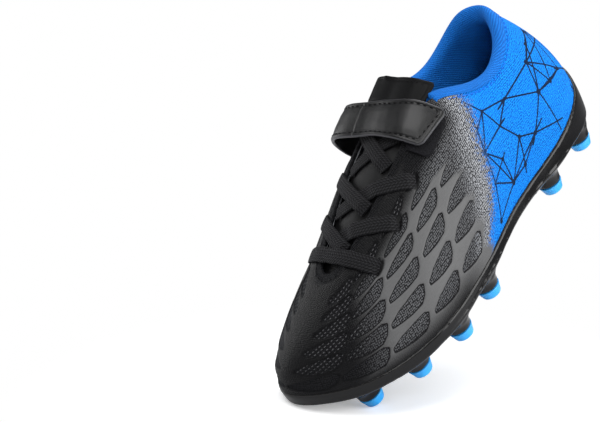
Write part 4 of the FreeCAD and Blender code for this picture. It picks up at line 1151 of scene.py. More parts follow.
# =============================================================== outsole
def rim(s):
    return t_at(s, rim_ring(s))


def medial_line(x):
    xs = np.array([0, 20, 40, 60, 80, 100, 120, 140, 160, 180, 195, 214], float)
    ys = np.array([0, .2, .8, 2.2, 3.0, 3.6, 2.6, 1.6, .6, -.6, -1.6, -4.])
    return Spline(xs, ys)(x)


def waist(x):
    """0 at heel and ball, 1 in the arch."""
    return smooth(58, 76, x) * smooth(112, 94, x)


def build_outsole():
    b = Builder()
    n = 440
    s = np.arange(n) * 22.0 / n
    nx, ny = outward(s)
    bx, by = outline(s)
    fz = floor_z(bx)
    rm = rim(s)
    # wall: up the inside, over the thin edge, down the outside, round the foot
    rings = []
    for k in np.linspace(0, 1, 9):
        rings.append(off(s, rm * k, -0.75))
    tip_out = off(s, rm, 1.15)
    up = unit(wall(s, rm + .01) - wall(s, rm - .01))
    rings.append(off(s, rm, -0.5) + up * 0.45)
    rings.append(off(s, rm, 0.85) + up * 0.45)
    rings.append(tip_out)
    flare = 0.55 + 0.5 * smooth(3.5, 0.5, np.minimum(s, 22 - s))
    for k in np.linspace(0.9, 0, 7):
        rings.append(off(s, rm * k, 1.25 + flare * (1 - k) ** 1.5))
    stud_near = np.zeros(n)
    for _, x, y, z in STUDS:
        d = np.hypot(bx - x, by - y)
        stud_near = np.maximum(stud_near, smooth(19, 8, d))
    lowz = 2.6 - 0.9 * (1 - stud_near)
    for out_, dz in ((2.15, -0.9), (1.7, -1.9), (0.6, -2.8), (-1.2, -3.1)):
        z = fz + dz * lowz / 2.6
        rings.append(np.stack([bx + nx * out_, by + ny * out_, z], -1))
    rings.append(np.stack([bx - nx * 1.6, by - ny * 1.6, fz - 0.4], -1))
    rings.append(np.stack([bx - nx * .3, by - ny * .3, fz + .1], -1))
    b.tube(np.stack(rings, 1), 0, True)
    # plate: from the edge to the middle line, top then back along the bottom
    mx = np.clip(bx, 17, 193)
    my = medial_line(mx)
    rr = []
    ks = np.linspace(0, 1, 15)
    for k in ks:
        x, y = lerp(bx, mx, k), lerp(by, my, k)
        rr.append(np.stack([x - nx * .3 * (1 - k), y - ny * .3 * (1 - k), floor_z(x) - 0.05], -1))
    for k in ks[::-1]:
        x, y = lerp(bx, mx, k), lerp(by, my, k)
        dist = np.hypot(mx - bx, my - by) * k
        lip = smooth(4.5, 1.0, dist)
        arch = waist(x)
        w = np.hypot(mx - bx, my - by)
        ridge = 1.5 * arch * smooth(0.52, 0.78, k) - 0.35 * arch * smooth(.35, .5, k) * smooth(.66, .5, k)
        z = floor_z(x) - 2.6 - 0.55 * lip - ridge
        rr.append(np.stack([x + nx * .2 * (1 - k), y + ny * .2 * (1 - k), z], -1))
    b.tube(np.stack(rr, 1), 0, True)
    # studs: necked cones with a flared skirt and a rib running to the edge
    ang = np.arange(40) * 2 * math.pi / 40
    for name, x, y, z in STUDS:
        foot, top = z + 5.0, float(floor_z(x)) - 2.4
        h = top - foot
        ox, oy = outline(np.linspace(0, 22, 881))
        k = np.argmin(np.hypot(ox - x, oy - y))
        ux, uy = ox[k] - x, oy[k] - y
        dist = math.hypot(ux, uy)
        ux, uy = ux / dist, uy / dist
        if name == "ball_centre":
            ux, uy, dist = -1.0, 0.0, 16.0
        elif y < 0 or y > 0:
            pass
        rings = []
        ks = np.concatenate([np.linspace(0, 1, 15), [1.12, 1.3]])
        for kk in ks:
            kc_ = min(kk, 1.0)
            r = 6.15 + 0.5 * kc_ + 0.9 * kc_ ** 3 + 5.0 * np.clip(kc_ - .45, 0, 1) ** 2.6
            r0 = r if kk > 0.02 else 6.1
            lobe = 1 + 0.035 * kk * np.cos(3 * (ang - math.atan2(uy, ux)))
            px = x + r0 * lobe * np.cos(ang) + ux * 1.2 * kk ** 2
            py = y + r0 * lobe * np.sin(ang) + uy * 1.2 * kk ** 2
            near_i = np.argmin(np.hypot(px[:, None] - ox, py[:, None] - oy), 1)
            gx, gy = outward(near_i * 22.0 / 880)
            room = (ox[near_i] - px) * gx + (oy[near_i] - py) * gy
            over = np.maximum(0, lerp(-1.6, -0.6, smooth(0.5, 1.0, kk)) - room)
            px, py = px - gx * over * smooth(0.15, 0.5, kk), py - gy * over * smooth(0.15, 0.5, kk)
            rings.append(np.stack([px, py, np.full(40, foot + h * kk)], -1))
        b.tube(np.stack(rings), 0)
        # rib from the stud out to the side wall and a blade along the sole
        reach = max(min(dist - 2.6, 10.0), 3.0)
        for ax_, ay_, length, w0, w1, hi, sink in (
                (ux, uy, reach, 4.4, 3.0, 0.72, 0.25),
                (-ux, -uy, 11.0, 2.2, 1.0, 0.50, 0.0),
                (-uy, ux, 12.0, 2.6, 1.0, 0.50, 0.0),
                (uy, -ux, 12.0, 2.6, 1.0, 0.50, 0.0)):
            if name == "ball_centre" and ax_ == ux:
                length = 12.0
            rings = []
            for kk in np.linspace(0, 1, 12):
                w = lerp(w0, w1, kk)
                zt = float(floor_z(x + ax_ * length * kk)) - 1.2
                zb = foot + h * (1 - hi) + (h * hi) * (kk ** (1.6 if sink else 0.85)) \
                    * (1 - sink)
                c = (x + ax_ * length * kk, y + ay_ * length * kk)
                kc = int(np.argmin(np.hypot(ox - c[0], oy - c[1])))
                gx, gy = outward(kc * 22.0 / 880)
                room = (ox[kc] - c[0]) * gx + (oy[kc] - c[1]) * gy
                back_off = max(0.0, (w if ax_ != ux else 0.0) + 0.6 - room)
                c = (c[0] - float(gx) * back_off, c[1] - float(gy) * back_off)
                sec = []
                for a in np.linspace(0, 2 * math.pi, 16, endpoint=False):
                    ca, sa = math.cos(a), math.sin(a)
                    pa = math.copysign(abs(ca) ** 0.6, ca) * w
                    pb = math.copysign(abs(sa) ** 0.75, sa)
                    zz = (zt + zb) / 2 + pb * max(0.15, (zt - zb) / 2)
                    sec.append((c[0] - ay_ * pa, c[1] + ax_ * pa, zz))
                rings.append(sec)
            b.tube(np.array(rings), 0)
    ob = b.make("outsole", [MAT_TPU])
    m = ob.modifiers.new("join", "REMESH")
    m.mode = "VOXEL"
    m.voxel_size = 0.00062
    m.use_smooth_shade = True
    sm = ob.modifiers.new("fillet", "SMOOTH")
    sm.factor, sm.iterations = 0.5, 15
    bake(ob)
    co, no = get_co(ob), get_no(ob)
    x, y, z = co.T
    fl = floor_z(x)
    below = (no[:, 2] < -0.72) & (z < fl - 1.6)
    near = np.full(len(co), 99.0)
    for _, sx, sy, sz in STUDS:
        near = np.minimum(near, np.hypot(x - sx, y - sy))
    # pattern of small hollows that runs along the middle and spreads at the ball
    cy = medial_line(np.clip(x, 0, 214))
    w = np.interp(x, [56, 66, 80, 96, 108, 122, 150, 172, 188, 198],
                  [0.5, 1.6, 2.6, 5.0, 9.5, 19.0, 21.5, 15.0, 8.0, 2.0])
    inside = smooth(w + .8, w - .8, np.abs(y - cy)) * smooth(9.6, 11.0, near)
    pitch = 2.75
    a, c = x / pitch, (y + x * 0.10) / (pitch * 0.866)
    row = np.round(c)
    a2 = a - 0.5 * (row % 2)
    dx, dy = (a2 - np.round(a2)) * pitch, (c - row) * pitch * 0.866
    size = 0.78 * np.interp(x, [56, 80, 110, 200], [0.6, 0.75, 1.0, 1.0])
    dd = np.maximum(np.abs(dx) * 0.95, np.abs(dx) * 0.5 + np.abs(dy) * 0.9)
    pit = smooth(size + .3, size - .25, dd) * inside * below
    # round patch under the heel with short bars
    hr = np.hypot(x - 33.5, y)
    bars = smooth(8.8, 8.0, hr) * (np.abs(((x - 33.5) / 2.4) % 1 - 0.5) < 0.27) \
        * (np.abs(((y + 1) / 3.6 + 0.5 * (np.floor((x - 33.5) / 2.4) % 2)) % 1 - 0.5) < 0.36)
    groove = np.exp(-((hr - 9.8) / 0.5) ** 2) * below * smooth(8.4, 9.4, near)
    pit = np.maximum(pit, bars * below * 0.9)
    push = 0.55 * pit + 0.4 * groove
    # press the hollows, the heel bars and the groove into the surface
    co2 = co - no * push[:, None]
    set_co(ob, co2)
    matte = below * smooth(8.9, 10.6, near) * 1.0
    # soften the matte mask over neighbours
    bm_w = matte.copy()
    ed = np.zeros(len(ob.data.edges) * 2, np.int32)
    ob.data.edges.foreach_get("vertices", ed)
    ed = ed.reshape(-1, 2)
    cnt = np.bincount(ed.ravel(), minlength=len(co)).astype(float)
    for _ in range(5):
        acc = np.bincount(ed[:, 0], bm_w[ed[:, 1]], len(co)) \
            + np.bincount(ed[:, 1], bm_w[ed[:, 0]], len(co))
        bm_w = 0.5 * bm_w + 0.5 * acc / np.maximum(cnt, 1)
    set_attr(ob, "matte", bm_w)
    # pit also marks the painted shade of the hollows and the heel groove
    set_attr(ob, "pit", np.clip(pit + groove * .6, 0, 1))
    # lit rim edge
    edge = smooth(0.55, 0.9, no[:, 2]) * (z > fl + 1.5)
    edge = edge * smooth(0.0, 1.0, z - fl)
    for _ in range(4):
        acc = np.bincount(ed[:, 0], edge[ed[:, 1]], len(co)) \
            + np.bincount(ed[:, 1], edge[ed[:, 0]], len(co))
        edge = 0.5 * edge + 0.5 * acc / np.maximum(cnt, 1)
    set_attr(ob, "edge", edge)
    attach(ob, "shoe")
    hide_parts("outsole_plate")
    return ob


outsole = build_outsole()


def build_tip(name, x, y, z):
    """Turned tip: hollow in the end, rounded walking edge, shoulder, peg."""
    prof = [(0.0, 1.15, 0), (0.7, 1.1, 0), (1.15, 0.85, 0), (1.35, 0.45, 0), (1.75, 0.12, .6),
            (2.6, 0.0, .4), (4.1, 0.01, .3), (4.52, 0.08, .8), (4.80, 0.30, 1), (4.93, 0.66, .6),
            (5.08, 1.3, 0), (5.42, 2.5, 0), (5.80, 3.8, 0), (6.04, 4.55, 0), (6.12, 4.78, .5),
            (6.02, 4.95, .3), (5.6, 5.02, 0), (2.45, 5.02, 0), (2.42, 5.5, 0), (2.4, 7.6, 0),
            (2.0, 8.0, 0), (0.0, 8.0, 0)]
    nseg = 48
    a = np.arange(nseg) * 2 * math.pi / nseg
    key = 1 + 0.0 * a
    verts, wear, kuv = [], [], []
    run = 0.0
    for i, (r, h, w) in enumerate(prof):
        if i:
            run += math.hypot(r - prof[i - 1][0], h - prof[i - 1][1])
        rr = max(r, 0.01)
        lob = 1 + (0.10 * np.cos(3 * a) if 0.3 < h < 1.12 and r < 1.5 else 0.0 * a)
        verts.append(np.stack([x + rr * lob * np.cos(a), y + rr * lob * np.sin(a),
                               np.full(nseg, z + h)], -1))
        wear.append(np.full(nseg, w))
        kuv.append(np.stack([a * 5.0 + x, np.full(nseg, run + y), a * 0 + z * 7], -1))
    b = Builder()
    b.tube(np.stack(verts), 0, False, wear=np.stack(wear)[..., None], kuv=np.stack(kuv))
    ob = b.make("tip_" + name, [MAT_TIP])
    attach(ob, "shoe")
    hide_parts("stud_tip_" + name)
    return ob


for nm, x_, y_, z_ in STUDS:
    build_tip(nm, x_, y_, z_)


# =============================================================== collar
CF, LT, UT, CT, GAP = 3.4, 0.6, 1.2, 1.2, 0.1
D3 = -UT - GAP - CT - GAP


def pad(s, t):
    side = 1.0 - 0.8 * smooth(3.9, 5.2, np.abs(s))
    return side * smooth(0.36, 0.68, t) * (1 - 0.22 * smooth(0.86, 1.0, t))


def build_collar():
    s = np.linspace(-5.55, 5.55, 96)
    sm = s % NK
    n0, top = wall_n(sm, 1.0), wall(sm, 1.0)
    up = edge_dir(sm)
    up = unit(up - n0 * col((up * n0).sum(-1)))
    reach = 0.2 + (CF - 0.12) * pad(s, 1.0) - D3 + GAP + LT / 2
    lo = t_at(sm, np.full(len(s), 3.9))
    face = GAP * 2 + LT / 2
    mid, rad = (face - reach) / 2, (face + reach) / 2
    tall = 0.75 + 0.22 * smooth(3.6, 1.0, np.abs(s))
    front = []
    for k in np.linspace(0, 1, 17):
        t = lerp(lo, 1.0, k)
        d = D3 - 0.2 - (CF - 0.12) * pad(s, t) - GAP - LT
        front.append(off(sm, t, d))
    for k in range(1, 8):
        a = math.pi * k / 8.0
        r = rad + LT / 2
        p = top + n0 * col(mid - math.cos(a) * r)
        rise = 2.0 * np.exp(-((s + 1.3) / 2.2) ** 2) + 2.0 * smooth(3.0, 4.7, s)
        heel = np.exp(-((s + 0.3) / 2.3) ** 2) * math.sin(a)
        p = p + col(heel) * np.array([-1.9, -0.5, 2.2])
        front.append(p + up * col(0.3 + math.sin(a) * (r * tall + 0.4 + rise)))
    for t, d in ((1.0, face + .30), (.99, face + .30), (.98, face + .2), (.972, face + .02)):
        front.append(off(sm, t, d))
    back = []
    for t, d in ((.975, .12), (.987, .12), (1.0, .12)):
        back.append(off(sm, t, d))
    back.append(top + n0 * -0.6 + up * 0.5)
    for k in np.linspace(0, 1, 9):
        t = lerp(0.99, lo + .005, k)
        back.append(off(sm, t, -1.75 - .8 * smooth(.75, .6, t) + 0 * s))
    rings = np.stack(front + back, 1)
    nk, nf = rings.shape[1], len(front)
    v = rows_length(rings.transpose(1, 0, 2)).T
    u = np.repeat(rows_length(rings[:, 12])[:, None], nk, 1)
    b = Builder()
    ring_k = np.arange(nk)[None, :] + 0 * u
    # painted shade, strongest at the bottom of the inner wall
    deep = smooth(10.5, 4.0, ring_k) * (ring_k < 17) + (ring_k >= nk - 3)
    b.tube(rings, 0, False, kuv=np.stack([u, v, 0 * u], -1), deep=deep.ravel())
    ob = b.make("collar_padding", [MAT_COLLAR, MAT_INNER])
    hold = np.zeros((len(s), nk))
    hold[:, nf - 3:] = 1.0
    hold[:, :3] = 1.0
    hold[:3] = hold[-3:] = 1.0
    hold[:, 3:6] = 0.5
    hold = np.maximum(hold, smooth(3.6, 4.8, np.abs(s))[:, None] * 0.9)
    hold = np.concatenate([hold.ravel(), [1, 1]])
    puff(ob, hold, pressure=6.0, cap=1.3, frames=18)
    subdivide(ob, 2)
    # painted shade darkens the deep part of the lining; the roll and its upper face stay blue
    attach(ob, "shoe")
    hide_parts("collar_lining", "collar_foam")
    b = Builder()
    ss = np.linspace(-5.3, 5.3, 500)
    stitches(b, off(ss % NK, np.full(500, .952), 0.1), wall_n(ss % NK, np.full(500, .95)),
             1.9, 0.8, 0.24, 0.14)
    st = b.make("collar_stitching", [MAT_THREAD_B])
    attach(st, "shoe")
    return ob


collar = build_collar()

# =============================================================== tongue
LACES = [
    ("lace_bar", (7.4, -48.0), (10.4, 53.0),
     ((0, 1.2), (.3, 2.1), (.7, 2.1), (1, 1.2)), 1, 1),
    ("lace_cross_1_under", (14.0, -14.0), (32.0, 53.0),
     ((0, -.9), (.15, -.8), (.33, -.55), (.46, 1.1), (.6, 1.2), (1, 1.2)), 0, 1),
    ("lace_cross_1_over", (12.5, 15.0), (26.0, -45.0),
     ((0, -.4), (.1, .75), (.25, .9), (.5, 1.2), (1, 1.2)), 0, 1),
    ("lace_cross_2_under", (29.0, -21.0), (52.5, 52.0),
     ((0, -.95), (.2, -.85), (.47, -.65), (.62, 1.15), (1, 1.2)), 0, 1),
    ("lace_cross_2_over", (33.0, 21.0), (47.5, -44.0),
     ((0, -.55), (.11, 1.07), (.35, 1.13), (.6, 1.22), (1, 1.2)), 0, 1),
    ("lace_cross_3_under", (50.0, -24.0), (71.5, 24.0),
     ((0, -1.0), (.2, -.9), (.8, -.9), (1, -.7)), 0, 0),
    ("lace_cross_3_over", (54.0, 24.0), (71.0, -26.0),
     ((0, -.9), (.22, .6), (.6, .65), (1, .75)), 0, 0),
]


def lace_line(start, stop, levels, k):
    q, f = lerp(start[0], stop[0], k), lerp(start[1], stop[1], k)
    lev = np.full(len(k), levels[-1][1])
    for (ka, va), (kb, vb) in reversed(list(zip(levels, levels[1:]))):
        lev = np.where(k <= kb, lerp(va, vb, smooth(ka, kb, k)), lev)
    return q, f, lev


def flat_top(q, phi):
    """The top of the tongue stands off the instep on the medial side."""
    return (6.2 * smooth(-6, -34, phi) + 0.6 * smooth(18, 31, phi)) * smooth(77, 87, q)


def build_tongue():
    q = np.concatenate([np.linspace(-8, 95.2, 60), [96.6, 97.8, 98.6, 99.0]])
    half = np.where(q < 90, tongue_half(q), 27.0)
    tail = smooth(94.2, 99.6, q)
    half = half * (1 - 0.06 * tail ** 2)
    left = half + 6.5 * smooth(76, 87, q)
    right = half + 2.5 * smooth(76, 87, q)
    thick = lerp(4.6, 1.2, tail ** 2) * smooth(-12, -2, q)
    kk = np.concatenate([-np.cos(np.linspace(0, math.pi, 25))])
    Q, K = np.meshgrid(q, kk, indexing="ij")
    PH = np.where(K < 0, K * left[:, None], K * right[:, None])
    base = tongue_d(np.minimum(Q, 90), PH) + flat_top(Q, PH)
    fall = (1 - np.sqrt(np.clip(1 - np.abs(K) ** 4, 0, 1))) * thick[:, None] * 0.45
    topd = base - fall
    botd = base - thick[:, None] + fall
    top = iat(Q, PH, topd)
    bot = iat(Q, PH, botd)
    rings = np.concatenate([top, bot[:, 1:-1][:, ::-1]], 1)
    nk = rings.shape[1]
    u = np.repeat(q[:, None], nk, 1)
    v = np.concatenate([PH * 0.45, (PH * 0.45)[:, 1:-1][:, ::-1]], 1)
    b = Builder()
    b.tube(rings, 0, False, kuv=np.stack([u, v, 0 * u], -1))
    ob = b.make("tongue", [MAT_TONGUE])
    hold = np.zeros((len(q), nk))
    hold[:, len(kk):] = 1.0
    hold[:, :3] = 1.0
    hold[:, len(kk) - 3:] = 1.0
    hold[q > 64] = 1.0
    hold[:3] = 1.0
    P = top.reshape(-1, 3)
    near = np.full(len(P), 99.0)
    for _, a, c, lev, e0, e1 in LACES:
        k = np.linspace(0, 1, 60)
        qq, ff, ll = lace_line(a, c, lev, k)
        L = iat(qq, ff, ll)
        near = np.minimum(near, np.linalg.norm(P[:, None] - L[None], axis=2).min(1))
    hold[:, :len(kk)] = np.maximum(hold[:, :len(kk)],
                                   smooth(6.8, 4.6, near).reshape(len(q), len(kk)))
    hold = np.concatenate([hold.ravel(), [1, 1]])
    puff(ob, hold, pressure=9.0, cap=1.5, frames=20)
    subdivide(ob, 2)
    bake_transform(ob)
    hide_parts("tongue_face", "tongue_foam", "tongue_lining", "tongue_top_pad")
    return ob


tongue = build_tongue()


def pillow(b, P, N, e, th, r, top_add=0.0, slot=0, open_first=False, open_last=False, **attrs):
    """Sheet with rounded edges: mid surface P (nu, nv, 3), distance e to the
    border in mm; both faces meet on the border unless that end is open."""
    nu, nv = P.shape[:2]
    k = np.clip(e / r, 0, 1)
    h = th * np.sqrt(np.clip(1 - (1 - k) ** 2, 0, 1))
    top = P + N * col(h + top_add * k)
    bot = P - N * col(h)
    v = np.concatenate([top.reshape(-1, 3), bot.reshape(-1, 3)])
    faces = [grid(nu, nv), grid(nu, nv, flip=True, base=nu * nv)]
    at = {k_: np.concatenate([np.asarray(a_, float).reshape(nu * nv, -1)] * 2)
          for k_, a_ in attrs.items()}
    b.add(v, faces, slot, **at)
    for flag, row in ((open_first, 0), (open_last, nu - 1)):
        if flag:
            a = np.arange(nv - 1) + row * nv + b.n - len(v)
            b.f.append(np.stack([a, a + 1, a + 1 + nu * nv, a + nu * nv], -1))
            b.s.append(np.full(nv - 1, 2))


def weld(ob, dist=2e-6):
    bm = bmesh.new()
    bm.from_mesh(ob.data)
    bmesh.ops.remove_doubles(bm, verts=bm.verts, dist=dist)
    bmesh.ops.dissolve_degenerate(bm, edges=bm.edges, dist=1e-7)
    bmesh.ops.recalc_face_normals(bm, faces=bm.faces)
    bm.to_mesh(ob.data)
    bm.free()
    ob.data.update()


def crowd(n):
    """0..1, closer together at both ends."""
    x = np.linspace(0, 1, n)
    return x + 0.13 * np.sin(-2 * math.pi * x) * 1.0


def build_tongue_patch():
    q = 84.6 + 14.7 * crowd(36)
    kk = crowd(56) * 2 - 1
    Q, K = np.meshgrid(q, kk, indexing="ij")
    half = np.where(K < 0, 33.6 + 2.6 * smooth(88, 99, Q), 31.2 + 2.6 * smooth(88, 99, Q))
    # rounded upper corners
    cut = np.clip((Q - 96.2) / 3.1, 0, 1)
    half = half * (1 - 0.09 * (1 - np.sqrt(np.clip(1 - cut ** 2, 0, 1))))
    PH = K * half
    rr = 24.0 * math.pi / 180 * 1.0
    width = (1 - np.abs(K)) * half * rr
    e = np.minimum.reduce([width, Q - 84.6, 99.3 - Q])
    D = tongue_d(np.minimum(Q, 90), PH) + 0.62 + flat_top(Q, PH)
    D += 0.8 * np.exp(-((Q - 98.4) / 1.6) ** 2) * np.exp(-((PH + 20) / 2.6) ** 2)
    P, N = iat(Q, PH, D), inormal(Q, PH)
    b = Builder()
    groove = -0.16 * np.exp(-((e - 1.9) / 0.4) ** 2)
    # edge: mask for the painted highlight along the patch's rounded border
    pillow(b, P, N, e, 0.5, 0.75, groove, 0,
           kuv=np.stack([Q, PH * .42, 0 * Q], -1), edge=smooth(0.7, 0.1, e) * .6)
    path = []
    for k in np.linspace(-1, 1, 90):
        path.append((97.2, -1.5 + k * 29.0))
    path = np.array(path)
    D2 = tongue_d(90.0, path[:, 1]) + 1.12 + flat_top(97.2, path[:, 1])
    stitches(b, iat(path[:, 0], path[:, 1], D2), inormal(path[:, 0], path[:, 1]),
             2.0, 0.9, 0.22, 0.0, 1)
    ob = b.make("tongue_top", [MAT_PATCH, MAT_THREAD])
    weld(ob)
    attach(ob, "tongue_top")
    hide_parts("tongue_top_patch")
    return ob


build_tongue_patch()


def build_lace(name, start, stop, levels, dip0, dip1):
    n = 84
    k = np.linspace(0, 1, n)
    q, f, lev = lace_line(start, stop, levels, k)
    r = radius(np.minimum(q, 86), f)
    dq, df = stop[0] - start[0], np.radians(stop[1] - start[1]) * r
    nn = np.hypot(dq, df)
    length = float(np.mean(nn))
    dip = np.zeros(n)
    if dip0:
        dip += smooth(3.4, 0.0, k * length) * 2.1
    if dip1:
        dip += smooth(3.4, 0.0, (1 - k) * length) * 2.1
    width = 7.4 / 2 * (1 + 0.03 * np.sin(k * length * 0.7 + start[0])) - 0.35 * dip / 2.1
    a = np.linspace(0, 2 * math.pi, 26, endpoint=False)
    ca, sa = np.cos(a), np.sin(a)
    ex = np.sign(ca) * np.abs(ca) ** 0.55
    ez = np.sign(sa) * np.abs(sa) ** 0.62
    rings, kuv = [], []
    # tiny scallops of the braid along both edges
    for j in range(26):
        scal = 1 + 0.018 * np.sin(k * length * 2 * math.pi / 1.25) * abs(ex[j]) ** 6
        w = ex[j] * width * scal
        qq = q - df / nn * w
        ff = f + np.degrees(dq / nn * w / r)
        crown = 0.10 * (1 - ex[j] ** 2)
        th = (0.56 - 0.06 * dip / 2.1) * (1 + 0.03 * np.sin(k * length * 2 * math.pi / 1.25 + 1))
        d = lev - dip + ez[j] * th + (crown if sa[j] > 0 else 0)
        rings.append(iat(qq, ff, d))
        kuv.append(np.stack([k * length, w * 1.0, 0 * k + sa[j] * .3], -1))
    b = Builder()
    b.tube(np.stack(rings, 1), 0, False, kuv=np.stack(kuv, 1))
    ob = b.make("tied_" + name, [MAT_LACE])
    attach(ob, "shoe")
    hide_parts(name)
    return ob


for spec in LACES:
    build_lace(*spec)

# =============================================================== strap
SF, SW = 66.8, 20.8


def strap_mid(f):
    lift = lerp(0.6, 2.3, smooth(-92.0, -66.0, f)) + 1.0
    return lift + 8.6 * np.exp(-(np.abs(f + 44.0) / 27.0) ** 3) \
        + 0.5 * np.exp(-((f - 26.0) / 12.0) ** 2)


def strap_w(f):
    return SW - 2.8 * smooth(34.0, 2.0, f)


def strap_q(f, v):
    """Distance up the instep; the strap sags towards the toe on the medial side."""
    return SF - 4.2 * smooth(4.0, -36.0, f) * smooth(-100.0, -62.0, f) + (v + 1) * strap_w(f) / 2


def strap_end(v, f_end, sign):
    """Angle where the strap ends across its width; rounded corners."""
    r1, r2 = 0.42, 0.30
    base = f_end + sign * (v * 3.6 - 1.2)
    c1 = np.clip((v - (1 - r1)) / r1, 0, 1)
    c2 = np.clip((-v - (1 - r2)) / r2, 0, 1)
    return base - sign * (9.0 * (1 - np.sqrt(1 - c1 ** 2)) + 6.0 * (1 - np.sqrt(1 - c2 ** 2)))


def build_strap(name, f0, f1, end0, end1, nodes):
    nu = int(abs(f1 - f0) * 1.35)
    a = np.linspace(0, 1, nu)
    if end1:
        a = 1 - (1 - a) ** 1.35
    elif end0:
        a = a ** 1.35
    v = np.sin(np.linspace(-math.pi / 2, math.pi / 2, 49) * 0.985) / math.sin(math.pi / 2 * .985)
    v = 0.5 * v + 0.5 * np.linspace(-1, 1, 49)
    A, V = np.meshgrid(a, v, indexing="ij")
    lo = strap_end(V, f0, -1.0) if end0 else np.full_like(V, f0)
    hi = strap_end(V, f1, 1.0) if end1 else np.full_like(V, f1)
    F_ = lerp(lo, hi, A)
    Q = strap_q(F_, V)
    rad_ = radius(np.minimum(Q, 86), F_) + 3
    mmdeg = rad_ * math.pi / 180
    e = (1 - np.abs(V)) * strap_w(F_) / 2
    if end0:
        e = np.minimum(e, (F_ - lo) * mmdeg)
    if end1:
        e = np.minimum(e, (hi - F_) * mmdeg)
    D = strap_mid(F_)
    D = D + 0.05 * np.sin(F_ * 0.29) * smooth(0, 6, e) + 0.02 * np.sin(F_ * 0.7 + V * 1.7)
    P, N = iat(Q, F_, D), inormal(Q, F_)
    groove = -0.24 * np.exp(-((e - 2.35) / 0.42) ** 2)
    crown = 0.28 * smooth(2.4, 6.5, e) + 0.10 * np.exp(-((e - 1.2) / 0.7) ** 2)
    b = Builder()
    run = rows_length(P[:, 24:25])[:, 0]
    U = np.repeat(run[:, None], 49, 1)
    # edge: mask for the painted highlight along the strap's rounded border
    pillow(b, P, N, e, 1.0, 0.85, groove + crown, 0, open_first=not end0, open_last=not end1,
           kuv=np.stack([U, V * SW / 2, 0 * V], -1), edge=smooth(0.75, 0.2, e))
    # thread rows, 2.35 mm inside the edges
    inset = 1 - 2.35 / (SW / 2)
    fa = np.linspace(f0 + (6.5 if end0 else 0.3), f1 - (6.5 if end1 else 0.3), 260)
    lines = []
    if end1:
        side = np.linspace(-inset, inset, 90)
        fe = strap_end(side / inset * 0.93, f1, 1.0) - 2.35 / (28 * math.pi / 180) * 1.0
        lo_line = np.stack([fa, np.full(260, -inset)], -1)
        hi_line = np.stack([fa[::-1], np.full(260, inset)], -1)
        lo_line = lo_line[lo_line[:, 0] < fe[0]]
        hi_line = hi_line[hi_line[:, 0] < fe[-1]]
        lines.append(np.concatenate([lo_line, np.stack([fe, side], -1), hi_line]))
    elif end0:
        side = np.linspace(-inset, inset, 90)
        fe = strap_end(side / inset * 0.93, f0, -1.0) + 2.35 / (28 * math.pi / 180) * 1.0
        lo_line = np.stack([fa[::-1], np.full(260, -inset)], -1)
        hi_line = np.stack([fa, np.full(260, inset)], -1)
        lo_line = lo_line[lo_line[:, 0] > fe[0]]
        hi_line = hi_line[hi_line[:, 0] > fe[-1]]
        lines.append(np.concatenate([lo_line, np.stack([fe, side], -1), hi_line]))
    for ln in lines:
        f_, v_ = ln[:, 0], ln[:, 1]
        d_ = strap_mid(f_) + 0.82 + 0.05 * np.sin(f_ * 0.29)
        q_ = strap_q(f_, v_)
        stitches(b, iat(q_, f_, d_), inormal(q_, f_), 1.9, 1.15, 0.33, 0.10, 1)
    ob = b.make(name, [MAT_STRAP, MAT_THREAD_S, MAT_STRAP])
    weld(ob)
    for poly in ob.data.polygons:
        if poly.material_index == 2:
            poly.use_smooth = False
    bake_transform(ob)
    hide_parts(*nodes)
    return ob


strap_a = build_strap("strap_root", -90.0, -17.0, True, False,
                      ("strap_anchor",))
strap_b = build_strap("strap_free", -17.0, 51.0, False, True,
                      ("strap_bridge", "strap_tip"))


def build_pad(name, node, body, f0, f1, q0, q1, d, mat, th=0.36):
    q = lerp(q0, q1, crowd(34))
    f = lerp(f0, f1, crowd(34))
    F_, Q = np.meshgrid(f, q, indexing="ij")
    mm = (radius(np.minimum(Q, 86), F_)) * math.pi / 180
    ex = np.minimum(F_ - f0, f1 - F_) * mm
    eq = np.minimum(Q - q0, q1 - Q)
    # squircle corners
    a, c = np.clip(1 - ex / 4.0, 0, 1), np.clip(1 - eq / 4.0, 0, 1)
    e = 4.0 * (1 - np.minimum(1, np.hypot(a, c)))
    F2 = F_ + np.where(F_ > (f0 + f1) / 2, -1, 1) * (c ** 2 * a) * 1.3 / mm
    rng = np.random.default_rng(7)
    P, N = iat(Q, F2, d), inormal(Q, F2)
    fuzz = 0.07 * rng.standard_normal(Q.shape) * smooth(0.4, 1.2, e)
    b = Builder()
    pillow(b, P, N, e, th, 0.5, fuzz, 0, kuv=np.stack([F_ * mm, Q, 0 * Q], -1))
    ob = b.make(name, [mat])
    weld(ob)
    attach(ob, body)
    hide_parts(node)
    return ob


build_pad("hook_pad", "strap_hook_pad", "strap_tip", 33.0, 48.5, SF + 2.2, SF + SW - 2.2,
          1.85, MAT_HOOK)
build_pad("loop_pad", "strap_loop_pad", "shoe", 32.5, 56.0, SF - 2.6, SF + SW - 3.0,
          0.98, MAT_LOOP)


